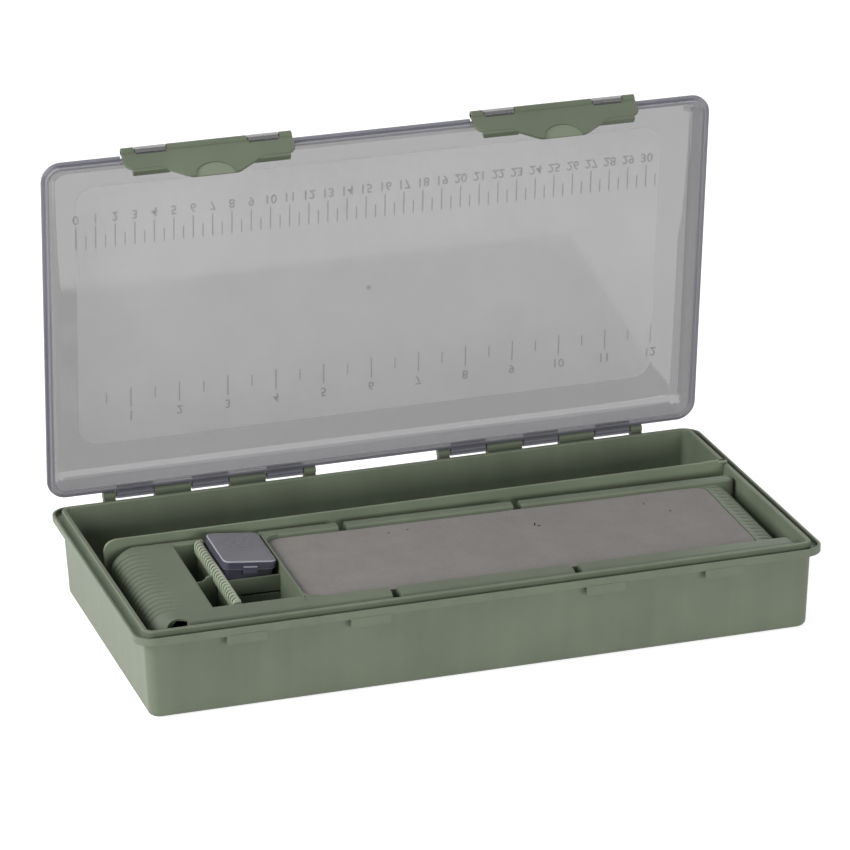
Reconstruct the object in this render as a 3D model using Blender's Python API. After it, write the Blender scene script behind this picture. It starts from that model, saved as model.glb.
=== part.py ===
# A flat tackle box with a clear ruled lid, two swinging latches, a lift-out rig tray with a foam board,
# a long divider and a small clear bit box. Metres, +Z up, origin under the middle of the base.
import math

import bmesh
import bpy
from mathutils import Matrix, Vector

for leftover in list(bpy.data.objects):
    bpy.data.objects.remove(leftover, do_unlink=True)

# Gaps shared by all pieces
rest_gap = 0.0003
overrun = 0.01
side_gap = 0.0006

# Base tray
base_length = 0.3488
base_width = 0.1842
base_corner = 0.010
lip_bottom = 0.0399
lip_height = 0.0037
lip_thickness = 0.0015
channel_floor = 0.0016
wall_height = 0.0454
wall_inset = 0.0049
wall_draft = 0.0018
wall_thickness = 0.0020
floor_thickness = 0.0020
floor_round = 0.0030

# Keepers under the front lip, which the latches hook
keeper_height = 0.0043
keeper_thickness = 0.0018
keeper_length = 0.0200

# Lid
lid_open_deg = 83.1
lid_crown_inset = 0.0027
lid_crown_draft = 0.0020
lid_wall = 0.0016
lid_panel = 0.0018
lid_depth = 0.0099
lid_crown_round = 0.0040
flange_thickness = 0.0018
tongue_inset = 0.0018
tongue_thickness = 0.0014
tongue_depth = 0.0020

# Main hinge: knuckles in two mirrored groups along the back, with lengths as shares of half the base
knuckle_radius = 0.0022
hinge_back = 0.0026
hinge_start_share = 0.1892
end_knuckle_share = 0.0373
base_knuckle_share = 0.1118
lid_knuckle_share = 0.1107
knuckle_gap = 0.0004
hinge_pin_radius = 0.0010
hinge_bore_gap = 0.00025
bracket_depth = 0.0005
bracket_side = 0.0002
bracket_back_share = 0.8

# Latches
latch_centre_share = 0.5172
latch_half_length = 0.0435
latch_rest_deg = 26.0
latch_axis_out = 0.0015
latch_axis_rise = 0.0005
latch_barrel_radius = 0.0020
latch_pin_radius = 0.0008
latch_bore_gap = 0.00025
latch_plate = 0.0016
latch_plate_inner = 0.0009
latch_length = 0.0208
latch_tongue_half = 0.0120
latch_tongue_round = 0.0030
latch_ear_length = 0.0121
latch_ear_round = 0.0045
latch_shoulder_inset = 0.0175
latch_flare = 0.0022
latch_window_inset = 0.0065
latch_window_length = 0.0165
latch_window_drop = 0.0036
latch_eye_gap = 0.0004
hook_inset = 0.0034
hook_length = 0.0188
hook_reach = 0.0026
hook_height = 0.0031
dish_half_length = 0.0105
dish_height = 0.0108
dish_depth = 0.0006
latch_relief_inset = 0.0016
latch_relief_side = 0.0007

# Long divider behind the rig tray
back_room = 0.0547
divider_thickness = 0.0018
divider_top = 0.0468
divider_left_gap = 0.0066
divider_corner = 0.0060
divider_tab_width = 0.0085
divider_tab_rise = 0.0004
divider_tab_reach = 0.0014
divider_leg_drop = 0.0125
divider_leg_thickness = 0.0016

# Rig tray, drawn square and then turned a little in the base
tray_turn_deg = -1.4
tray_left_gap = 0.0071
tray_right_gap = 0.0017
tray_front_gap = 0.0057
tray_back_gap = 0.0070
tray_top = 0.0438
tray_corner = 0.0070
tray_draft = 0.0015
tray_wall = 0.0022
tray_foot_round = 0.0030
tray_floor = 0.0022
left_end_round = 0.0105
right_end_round = 0.0060
left_end_land = 0.0322
front_rail_round = 0.0035
strip_top = 0.0420
strip_inset = 0.0046

# Foam board and its recess
foam_top = 0.0418
foam_thickness = 0.0040
foam_left_inset = 0.0785
foam_right_inset = 0.0173
foam_front_inset = 0.0124
foam_back_inset = 0.0082
foam_corner = 0.0070
foam_gap = 0.0004

# Compartments at the tray's left
rear_rail = 0.0050
front_rail = 0.0140
cells_reach = 0.0768
box_wall_rear = 0.0008
box_front_gap = 0.0007
box_back_gap = 0.0033
box_wall_top = 0.0415
shelf_top = 0.0308
shelf_thickness = 0.0016
shelf_lip_top = 0.0375
shelf_rest_height = 0.0024
shelf_rest_width = 0.0030
slot_divider_lag = 0.0025
slot_divider_low = 0.0395
slot_divider_high = 0.0420
slot_divider_step = 0.0062

# Rail slots, winding grooves and the finger notch
rail_slot_width = 0.0043
rail_slot_depth = 0.0060
rear_slot_shares = (0.175, 0.571)
front_slot_shares = (0.183, 0.582)
groove_radius = 0.0019
groove_depth = 0.0013
groove_first_inset = 0.0175
groove_last_inset = 0.0105
groove_pitch = 0.0050
notch_radius = 0.0064
notch_inset = 0.0122
notch_reach = 0.0042
notch_depth = 0.0120

# Thread comb between the compartments
comb_inset = 0.0432
comb_head_width = 0.0044
comb_plate = 0.0018
comb_head_height = 0.0035
comb_root = 0.0410
comb_tooth_height = 0.0036
comb_tooth_length = 0.0022
comb_tooth_lean = 0.0010
comb_pitch = 0.0036
comb_tenon = 0.0020
comb_front_gap = 0.0015
comb_bottom = 0.0075
comb_slot_margin = 0.0001

# Bit box
bit_box_tilt_deg = 5.8
bit_box_inset = 0.06115
bit_box_z = 0.03257
bit_body_length = 0.0246
bit_body_width = 0.0382
bit_body_height = 0.0119
bit_wall = 0.0011
bit_corner = 0.0025
bit_lid_wall = 0.0009
bit_lid_height = 0.0044
bit_lid_top = 0.0012
bit_head_round = 0.0008
bit_hinge_radius = 0.0007
bit_hinge_half = 0.0026
bit_lug_length = 0.0030
bit_tab_half = 0.0035
bit_tab_thickness = 0.0010
bit_tab_height = 0.0036
bit_bump_height = 0.0009

# Segments of rounded edges and of turned shapes
corner_steps = 5
small_steps = 3
round_sides = 16
groove_sides = 10
tiny_share = 0.001

# Places worked out from the sizes above
half_length = base_length / 2
half_width = base_width / 2
inner_half_length = half_length - wall_inset - wall_thickness
inner_half_width = half_width - wall_inset - wall_thickness
lip_top = lip_bottom + lip_height
rim_bottom = lip_top + rest_gap
lid_ceiling = rim_bottom + lid_depth
lid_top = lid_ceiling + lid_panel
hinge_y = half_width + hinge_back
hinge_z = rim_bottom + flange_thickness
latch_y = -half_width - latch_axis_out
latch_z = hinge_z + latch_axis_rise
keeper_bottom = lip_bottom - keeper_height
hinge_start = half_length * hinge_start_share
end_knuckle = half_length * end_knuckle_share
base_knuckle = half_length * base_knuckle_share
lid_knuckle = half_length * lid_knuckle_share
latch_centre = half_length * latch_centre_share
latch_shoulder_half = latch_half_length - latch_shoulder_inset
latch_window_outer = latch_half_length - latch_window_inset
latch_window_inner = latch_window_outer - latch_window_length
hook_outer = latch_half_length - hook_inset
hook_inner = hook_outer - hook_length
divider_front = inner_half_width - back_room
divider_left = inner_half_length - divider_left_gap
tray_bottom = floor_thickness + rest_gap
tray_left = -inner_half_length + tray_left_gap
tray_right = inner_half_length - tray_right_gap
tray_front = -inner_half_width + tray_front_gap
tray_back = divider_front - tray_back_gap
strip_right = tray_right - strip_inset
foam_left = tray_left + foam_left_inset
foam_right = tray_right - foam_right_inset
foam_front = tray_front + foam_front_inset
foam_back = tray_back - foam_back_inset
foam_bottom = foam_top - foam_thickness
recess_floor = foam_bottom - rest_gap
slot_left = tray_left + left_end_land
slot_back = tray_back - rear_rail
slot_front = tray_front + front_rail
cell_right = tray_left + cells_reach
box_cell_back = tray_back - box_wall_rear
bit_box_x = tray_left + bit_box_inset
bit_box_y = box_cell_back - box_back_gap - bit_body_width / 2
box_cell_front = bit_box_y - bit_body_width / 2 - box_front_gap
slot_divider_back = box_cell_front - slot_divider_lag
groove_first = tray_front + groove_first_inset
groove_count = round((tray_back - groove_last_inset - groove_first) / groove_pitch) + 1
notch_place = tray_left + notch_inset
notch_back = tray_front + notch_reach
comb_left = tray_left + comb_inset
comb_right = comb_left + comb_head_width
comb_middle = comb_left + comb_head_width / 2
comb_back = slot_back + comb_tenon
comb_front = slot_front + comb_front_gap
comb_count = int((comb_back - comb_front) / comb_pitch)

parts = bpy.data.collections.new("tackle_box")
cutters = bpy.data.collections.new("cutters")
bpy.context.scene.collection.children.link(parts)
bpy.context.scene.collection.children.link(cutters)


def material(name, color, roughness, alpha=1.0):
    """One Principled material; clear plastics have an alpha below 1."""
    made = bpy.data.materials.new(name)
    made.use_nodes = True
    shader = made.node_tree.nodes["Principled BSDF"]
    shader.inputs["Base Color"].default_value = (*color, 1.0)
    shader.inputs["Roughness"].default_value = roughness
    shader.inputs["Metallic"].default_value = 0.0
    shader.inputs["Alpha"].default_value = alpha
    return made


def helper(name, mesh):
    """A shape that only cuts or joins: drawn as wire and left out of renders."""
    shape = bpy.data.objects.new(name, mesh)
    shape.hide_render = True
    shape.display_type = "WIRE"
    cutters.objects.link(shape)
    return shape


def part(shape, look, parent=None):
    """Turn a helper shape into a real piece with its own material."""
    cutters.objects.unlink(shape)
    parts.objects.link(shape)
    shape.hide_render = False
    shape.display_type = "TEXTURED"
    shape.data.materials.clear()
    shape.data.materials.append(look)
    shape.parent = parent
    return shape


def to_mesh(name, work):
    """Store a bmesh with its faces pointing out."""
    bmesh.ops.recalc_face_normals(work, faces=work.faces[:])
    mesh = bpy.data.meshes.new(name)
    work.to_mesh(mesh)
    work.free()
    return mesh


def round_edges(work, edges, radius, steps):
    """Round the given edges, if there is a radius to give."""
    if radius > 0:
        bmesh.ops.bevel(work, geom=edges, offset=radius, segments=steps, profile=0.5, affect="EDGES")


def block(name, low, high, corner=0, draft=0, foot=0, head=0, steps=corner_steps):
    """A box between two corners, narrower by draft at the foot, with rounded upright, foot and head edges."""
    work = bmesh.new()
    bmesh.ops.create_cube(work, size=1)
    low, high = Vector(low), Vector(high)
    for vert in work.verts:
        side = [1 if place > 0 else 0 for place in vert.co]
        inset = draft * (1 - side[2])
        vert.co.x = high.x - inset if side[0] else low.x + inset
        vert.co.y = high.y - inset if side[1] else low.y + inset
        vert.co.z = high.z if side[2] else low.z
    near = (high.z - low.z) * tiny_share
    upright = [edge for edge in work.edges if abs(edge.verts[0].co.z - edge.verts[1].co.z) > near]
    round_edges(work, upright, corner, steps)
    for level, radius in ((low.z, foot), (high.z, head)):
        ring = [edge for edge in work.edges if all(abs(vert.co.z - level) < near for vert in edge.verts)]
        round_edges(work, ring, radius, small_steps)
    return helper(name, to_mesh(name, work))


def rim_block(name, inset, low, high, draft=0, foot=0, head=0, radius=None):
    """A block that follows the base's outline at an inset."""
    corner = base_corner - inset if radius is None else radius
    reach_x = half_length - inset
    reach_y = half_width - inset
    return block(name, (-reach_x, -reach_y, low), (reach_x, reach_y, high), corner, draft, foot, head)


def rod(name, radius, start, end, height, place, sides=round_sides):
    """A round bar along X from start to end, centred on a place and a height."""
    work = bmesh.new()
    turn = Matrix.Rotation(math.radians(90), 4, "Y")
    middle = Matrix.Translation(((start + end) / 2, place, height))
    bmesh.ops.create_cone(work, cap_ends=True, segments=sides, radius1=radius, radius2=radius,
                          depth=end - start, matrix=middle @ turn)
    return helper(name, to_mesh(name, work))


def combine(target, other, operation):
    """Cut or join one shape with another by an exact Boolean."""
    change = target.modifiers.new(other.name, "BOOLEAN")
    change.operation = operation
    change.object = other
    change.solver = "EXACT"
    return target


def cut(target, *others):
    for other in others:
        combine(target, other, "DIFFERENCE")
    return target


def join(target, *others):
    for other in others:
        combine(target, other, "UNION")
    return target


def carry(parent, shapes):
    """Parent helper shapes to the empty that carries the piece they work on."""
    for shape in shapes:
        shape.parent = parent
        shape.matrix_parent_inverse = parent_offset(parent)


def parent_offset(parent):
    """Pieces are drawn in their resting frame, so the parent's own place is taken off again."""
    return Matrix.Translation(-Vector(parent["drawn_at"]))


def axis_empty(name, place, parent=None, turn=(0, 0, 0)):
    """An empty on a joint's axis; pieces below it are drawn about the same place."""
    empty = bpy.data.objects.new(name, None)
    empty["drawn_at"] = place
    empty.location = place
    empty.rotation_euler = turn
    parts.objects.link(empty)
    if parent:
        empty.parent = parent
        empty.matrix_parent_inverse = parent_offset(parent)
    return empty


def outline(name, points, half_thickness, plane):
    """A flat outline given thickness on both sides and turned into a mesh in the XZ or YZ plane."""
    curve = bpy.data.curves.new(name, "CURVE")
    curve.dimensions = "2D"
    curve.fill_mode = "BOTH"
    curve.extrude = half_thickness
    spline = curve.splines.new("POLY")
    spline.points.add(len(points) - 1)
    for spot, (across, up) in zip(spline.points, points):
        spot.co = (across, up, 0, 1)
    spline.use_cyclic_u = True
    drawn = bpy.data.objects.new(name, curve)
    bpy.context.scene.collection.objects.link(drawn)
    graph = bpy.context.evaluated_depsgraph_get()
    mesh = bpy.data.meshes.new_from_object(drawn.evaluated_get(graph))
    bpy.data.objects.remove(drawn)
    work = bmesh.new()
    work.from_mesh(mesh)
    bpy.data.meshes.remove(mesh)
    bmesh.ops.remove_doubles(work, verts=work.verts[:], dist=half_thickness * tiny_share)
    upright = Matrix.Rotation(math.radians(90), 4, "X")
    spin = Matrix.Rotation(math.radians(90), 4, "Z") if plane == "YZ" else Matrix.Identity(4)
    bmesh.ops.transform(work, matrix=spin @ upright, verts=work.verts[:])
    return helper(name, to_mesh(name, work))


def arc(centre, radius, start_deg, end_deg, steps=corner_steps):
    """Points along a round corner."""
    turns = [math.radians(start_deg + (end_deg - start_deg) * step / steps) for step in range(steps + 1)]
    return [(centre[0] + radius * math.cos(turn), centre[1] + radius * math.sin(turn)) for turn in turns]


def knuckle_spans(owner):
    """Start and end of each knuckle of one hinge group, walked outwards from the middle."""
    spans = []
    spot = hinge_start
    row = [("base", end_knuckle), ("lid", lid_knuckle), ("base", base_knuckle), ("lid", lid_knuckle),
           ("base", base_knuckle), ("lid", lid_knuckle), ("base", end_knuckle)]
    for whose, length in row:
        if whose == owner:
            spans.append((spot, spot + length))
        spot += length + knuckle_gap
    return spans, spot - knuckle_gap


def mirrored(spans):
    """The same spans on both sides of the middle."""
    return [(low, high) for low, high in spans] + [(-high, -low) for low, high in spans]


green_base = material("base_green", (0.150, 0.185, 0.135), 0.55)
green_tray = material("tray_green", (0.155, 0.190, 0.140), 0.55)
green_divider = material("divider_green", (0.150, 0.185, 0.135), 0.55)
green_comb = material("comb_green", (0.165, 0.205, 0.150), 0.55)
green_latch = material("latch_green", (0.145, 0.190, 0.120), 0.50)
clear_lid = material("lid_clear", (0.45, 0.45, 0.47), 0.25, 0.5)
smoke_box = material("bit_box_smoke", (0.22, 0.22, 0.27), 0.20, 0.6)
smoke_cap = material("bit_lid_smoke", (0.25, 0.25, 0.30), 0.20, 0.6)
grey_foam = material("foam_grey", (0.200, 0.185, 0.175), 0.95)
pin_plastic = material("pin_green", (0.120, 0.150, 0.110), 0.50)


def build_base():
    """The tub, its double rim with a channel, the keepers at the front and the knuckles at the back."""
    base = rim_block("base_tray", 0, lip_bottom, lip_top)
    channel = rim_block("channel", lip_thickness, lip_bottom + channel_floor, lip_top + overrun)
    tub = rim_block("tub", wall_inset, 0, wall_height, wall_draft, floor_round)
    inner = wall_inset + wall_thickness
    room = rim_block("room", inner, floor_thickness, wall_height + overrun,
                     wall_draft * (wall_height + overrun - floor_thickness) / wall_height, floor_round,
                     radius=base_corner - wall_inset - wall_thickness)
    cut(base, channel)
    join(base, tub)
    for centre in (-latch_centre, latch_centre):
        for side in (-1, 1):
            middle = centre + side * (hook_inner + hook_outer) / 2
            tab = block(f"keeper_{middle:.3f}",
                        (middle - keeper_length / 2, -half_width, keeper_bottom),
                        (middle + keeper_length / 2, -half_width + keeper_thickness,
                         lip_bottom + channel_floor / 2))
            join(base, tab)
    spans, end = knuckle_spans("base")
    for low, high in mirrored(spans):
        join(base, rod(f"base_knuckle_{low:.3f}", knuckle_radius, low, high, hinge_z, hinge_y))
        join(base, block(f"bracket_{low:.3f}",
                         (low + bracket_side, half_width - bracket_depth, lip_bottom + channel_floor / 2),
                         (high - bracket_side, hinge_y + knuckle_radius * bracket_back_share, lip_top)))
        join(base, block(f"web_{low:.3f}",
                         (low + bracket_side, hinge_y - knuckle_radius + bracket_depth / 2,
                          lip_top - bracket_depth),
                         (high - bracket_side, hinge_y + knuckle_radius * bracket_back_share,
                          hinge_z - bracket_depth)))
    cut(base, room)
    for name, side in (("left", -1), ("right", 1)):
        low, high = sorted((side * (hinge_start - overrun), side * (end + overrun)))
        cut(base, rod(f"base_bore_{name}", hinge_pin_radius + hinge_bore_gap, low, high, hinge_z, hinge_y))
        low, high = sorted((side * (hinge_start + rest_gap), side * (end - rest_gap)))
        pin = rod(f"hinge_pin_{name}", hinge_pin_radius, low, high, hinge_z, hinge_y)
        part(pin, pin_plastic)
    part(base, green_base)


def build_lid(lid_axis):
    """The clear lid, drawn closed: crown, flange, tongue in the channel, knuckles and latch eyes."""
    lid = rim_block("lid_shell", 0, rim_bottom, rim_bottom + flange_thickness)
    crown = rim_block("crown", lid_crown_inset, rim_bottom, lid_top)
    draft_lid(crown, lid_crown_draft * (lid_top - rim_bottom) / lid_depth, lid_crown_round)
    tongue = rim_block("tongue", tongue_inset, rim_bottom - tongue_depth, rim_bottom + flange_thickness / 2)
    cavity = rim_block("cavity", lid_crown_inset + lid_wall, rim_bottom, lid_ceiling)
    draft_lid(cavity, lid_crown_draft, lid_crown_round - lid_wall)
    mouth = rim_block("mouth", tongue_inset + tongue_thickness, rim_bottom - tongue_depth - overrun,
                      rim_bottom + flange_thickness * tiny_share)
    extras = [crown, tongue]
    spans, end = knuckle_spans("lid")
    for low, high in mirrored(spans):
        extras.append(rod(f"lid_knuckle_{low:.3f}", knuckle_radius, low, high, hinge_z, hinge_y))
        extras.append(block(f"lid_arm_{low:.3f}",
                            (low + bracket_side, half_width - lid_crown_inset - bracket_side,
                             rim_bottom + bracket_side),
                            (high - bracket_side, hinge_y - bracket_depth, hinge_z - bracket_side)))
    reliefs = []
    eyes = []
    for centre in (-latch_centre, latch_centre):
        reach = latch_half_length + latch_relief_side
        reliefs.append(block(f"relief_{centre:.3f}",
                             (centre - reach, -half_width - overrun, rim_bottom - overrun),
                             (centre + reach, -half_width + latch_relief_inset, lid_top)))
        behind = -half_width + lid_crown_inset + lid_wall + side_gap
        reliefs.append(block(f"tongue_relief_{centre:.3f}",
                             (centre - reach, -half_width - overrun, rim_bottom - tongue_depth - overrun),
                             (centre + reach, behind, rim_bottom)))
        for side in (-1, 1):
            low, high = sorted((centre + side * (latch_window_inner + latch_eye_gap),
                                centre + side * (latch_window_outer - latch_eye_gap)))
            eyes.append(rod(f"eye_{low:.3f}", latch_barrel_radius, low, high, latch_z, latch_y))
            eyes.append(block(f"eye_arm_{low:.3f}",
                              (low + bracket_side, latch_y + bracket_depth, rim_bottom + bracket_side),
                              (high - bracket_side, -half_width + lid_crown_inset + bracket_side,
                               hinge_z - bracket_side)))
    bores = []
    for name, side in (("left", -1), ("right", 1)):
        low, high = sorted((side * (hinge_start - overrun), side * (end + overrun)))
        bores.append(rod(f"lid_bore_{name}", hinge_pin_radius + hinge_bore_gap, low, high, hinge_z, hinge_y))
        low, high = (side * latch_centre - latch_half_length, side * latch_centre + latch_half_length)
        bores.append(rod(f"eye_bore_{name}", latch_pin_radius + latch_bore_gap, low, high, latch_z, latch_y))
    join(lid, *extras)
    cut(lid, cavity, mouth, *reliefs)
    join(lid, *eyes)
    cut(lid, *bores)
    part(lid, clear_lid)
    carry(lid_axis, [lid, cavity, mouth, *extras, *reliefs, *eyes, *bores])


def draft_lid(shape, draft, head):
    """Lean a rim block's upright faces inwards towards the top, then round its top edges."""
    work = bmesh.new()
    work.from_mesh(shape.data)
    low = min(vert.co.z for vert in work.verts)
    high = max(vert.co.z for vert in work.verts)
    near = (high - low) * tiny_share
    reach_x = max(vert.co.x for vert in work.verts)
    reach_y = max(vert.co.y for vert in work.verts)
    for vert in work.verts:
        if vert.co.z > high - near:
            vert.co.x *= (reach_x - draft) / reach_x
            vert.co.y *= (reach_y - draft) / reach_y
    ring = [edge for edge in work.edges if all(vert.co.z > high - near for vert in edge.verts)]
    round_edges(work, ring, head, small_steps)
    work.to_mesh(shape.data)
    work.free()


def latch_front_points():
    """The latch seen from the front: straight top, short ears and a longer tongue in the middle."""
    ear_corner = (latch_half_length - latch_ear_round, -latch_ear_length + latch_ear_round)
    tongue_corner = (latch_tongue_half, -latch_length + latch_tongue_round)
    right = [(latch_half_length, latch_barrel_radius)]
    right += [(x, z) for x, z in arc(ear_corner, latch_ear_round, 0, -90)]
    right.append((latch_shoulder_half, -latch_ear_length))
    slope = math.atan2(latch_length - latch_ear_length, latch_shoulder_half - latch_tongue_half)
    right += arc(tongue_corner, latch_tongue_round, -90 + math.degrees(slope), -90)
    left = [(-x, z) for x, z in reversed(right)]
    return right + left


def latch_side_points():
    """The latch seen from its end: a thin strip that flares outwards at the tip."""
    steps = corner_steps
    rows = [step / steps for step in range(steps + 1)]
    run = latch_length + overrun
    inner = [(latch_plate_inner - latch_flare * row ** 3, latch_barrel_radius - run * row) for row in rows]
    outer = [(across - latch_plate, up) for across, up in reversed(inner)]
    return inner + outer


def build_latch(name, centre, lid_axis):
    """One latch and its pin: plate, barrel, two hooks, two windows for the lid's eyes and a thumb dish."""
    place = (centre, latch_y, latch_z)
    axis = axis_empty(f"latch_axis_{name}", place, lid_axis, (math.radians(latch_rest_deg), 0, 0))
    latch = outline(f"latch_{name}", latch_front_points(), latch_length, "XZ")
    strip = outline(f"latch_strip_{name}", latch_side_points(), latch_half_length + overrun, "YZ")
    combine(latch, strip, "INTERSECT")
    tools = [strip]
    windows = []
    for side in (-1, 1):
        low, high = sorted((side * latch_window_inner, side * latch_window_outer))
        windows.append(block(f"window_{name}_{side}", (low, -overrun, -latch_window_drop),
                             (high, overrun, latch_barrel_radius + overrun)))
    cut(latch, *windows)
    barrels = [rod(f"barrel_{name}_0", latch_barrel_radius, -latch_window_inner, latch_window_inner, 0, 0)]
    for side in (-1, 1):
        low, high = sorted((side * latch_window_outer, side * (latch_half_length - bracket_side)))
        barrels.append(rod(f"barrel_{name}_{side}", latch_barrel_radius, low, high, 0, 0))
        low, high = sorted((side * hook_inner, side * hook_outer))
        top = keeper_bottom - latch_z - rest_gap
        barrels.append(block(f"hook_{name}_{side}", (low, -latch_plate / 2, top - hook_height),
                             (high, hook_reach, top)))
    join(latch, *barrels)
    bore = rod(f"latch_bore_{name}", latch_pin_radius + latch_bore_gap, -latch_half_length - overrun,
               latch_half_length + overrun, 0, 0)
    dish = thumb_dish(f"dish_{name}")
    cut(latch, bore, dish)
    tools += [*windows, *barrels, bore, dish]
    pin = rod(f"latch_pin_{name}", latch_pin_radius, -latch_half_length + rest_gap,
              latch_half_length - rest_gap, 0, 0)
    part(latch, green_latch)
    part(pin, pin_plastic)
    for shape in [latch, pin, *tools]:
        shape.parent = axis


def thumb_dish(name):
    """A shallow oval that is pressed into the latch's outer face at its tip."""
    work = bmesh.new()
    bmesh.ops.create_uvsphere(work, u_segments=round_sides, v_segments=round_sides // 2, radius=1)
    size = Matrix.Diagonal((dish_half_length, dish_depth * 2, dish_height, 1))
    outer_face = latch_plate_inner - latch_plate - latch_flare / 2
    place = Matrix.Translation((0, outer_face - dish_depth, -latch_length))
    bmesh.ops.transform(work, matrix=place @ size, verts=work.verts[:])
    return helper(name, to_mesh(name, work))


def build_divider():
    """The tall plate behind the tray, with a tab that rests on the right wall and a leg inside it."""
    wall_lean = wall_draft * (wall_height - tray_bottom) / wall_height
    right_top = inner_half_length - side_gap
    tab_bottom = wall_height + rest_gap
    tab_end = inner_half_length + divider_tab_reach
    points = [(-divider_left + wall_lean, tray_bottom), (right_top - wall_lean - floor_round, tray_bottom),
              (right_top - wall_lean, tray_bottom + floor_round), (right_top, wall_height - divider_tab_rise),
              (right_top, tab_bottom), (tab_end, tab_bottom), (tab_end, divider_top + divider_tab_rise),
              (right_top - divider_corner, divider_top + divider_tab_rise),
              (right_top - divider_corner * 2, divider_top)]
    corner = (-divider_left + divider_corner, divider_top - divider_corner)
    points += arc(corner, divider_corner, 90, 180)
    plate = outline("long_divider", points, divider_thickness / 2, "XZ")
    middle = divider_front + divider_thickness / 2
    tab_front = divider_front - divider_tab_width
    tab = block("divider_tab", (right_top - divider_corner / 2, tab_front, tab_bottom),
                (tab_end, middle, divider_top + divider_tab_rise))
    leg_right = right_top - wall_draft * divider_leg_drop / wall_height
    leg = block("divider_leg", (leg_right - divider_leg_thickness, tab_front + bracket_side,
                                divider_top - divider_leg_drop),
                (leg_right, middle, divider_top))
    plate.location.y = middle
    join(plate, tab, leg)
    part(plate, green_divider)


def rail_cutters():
    """Narrow slots right across the front and back rails."""
    shapes = []
    for row, shares, low, high in (("rear", rear_slot_shares, foam_back, tray_back + overrun),
                                   ("front", front_slot_shares, tray_front - overrun, foam_front)):
        for share in shares:
            place = foam_left + (foam_right - foam_left) * share
            shapes.append(block(f"{row}_slot_{place:.3f}",
                                (place - rail_slot_width / 2, low, tray_top - rail_slot_depth),
                                (place + rail_slot_width / 2, high, tray_top + overrun)))
    return shapes


def groove_cutter(name, edge_x, top, radius, side):
    """A row of round grooves across one rolled end of the tray, for wound line."""
    work = bmesh.new()
    lean = math.radians(45)
    centre_x = edge_x - side * radius
    centre_z = top - radius
    away = radius + groove_radius - groove_depth
    length = radius * 4
    for step in range(groove_count):
        middle = (centre_x + side * away * math.sin(lean), groove_first + step * groove_pitch,
                  centre_z + away * math.cos(lean))
        turn = Matrix.Rotation(side * (math.radians(90) + lean), 4, "Y")
        bmesh.ops.create_cone(work, cap_ends=True, segments=groove_sides, radius1=groove_radius,
                              radius2=groove_radius, depth=length, matrix=Matrix.Translation(middle) @ turn)
    return helper(name, to_mesh(name, work))


def tray_profile():
    """The tray seen from the front: rolled over at both ends."""
    low = tray_bottom - overrun
    points = [(tray_left - overrun, low), (tray_right + overrun, low), (tray_right + overrun, tray_bottom)]
    points += arc((tray_right - right_end_round, tray_top - right_end_round), right_end_round, 0, 90)
    points += arc((tray_left + left_end_round, tray_top - left_end_round), left_end_round, 90, 180)
    points.append((tray_left - overrun, tray_bottom))
    return outline("tray_profile", points, tray_back - tray_front, "XZ")


def strip_cutter():
    """What is taken off at the right between the rails, so that a lower and shorter strip stays there."""
    low = tray_bottom - overrun
    back = foam_back + foam_gap
    front = foam_front - foam_gap
    points = [(foam_right + foam_gap, strip_top)]
    points += arc((strip_right - right_end_round, strip_top - right_end_round), right_end_round, 90, 0)
    points += [(strip_right, low), (tray_right + overrun, low), (tray_right + overrun, tray_top + overrun),
               (foam_right + foam_gap, tray_top + overrun)]
    strip = outline("strip_cutter", points, (back - front) / 2, "XZ")
    strip.location.y = (back + front) / 2
    return strip


def front_round():
    """The waste outside the front rail's rounded upper edge."""
    points = [(tray_front - overrun, tray_top + overrun), (tray_front + front_rail_round, tray_top + overrun)]
    points += arc((tray_front + front_rail_round, tray_top - front_rail_round), front_rail_round, 90, 180)
    points.append((tray_front - overrun, tray_top - front_rail_round))
    return outline("front_round", points, base_length, "YZ")


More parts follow.
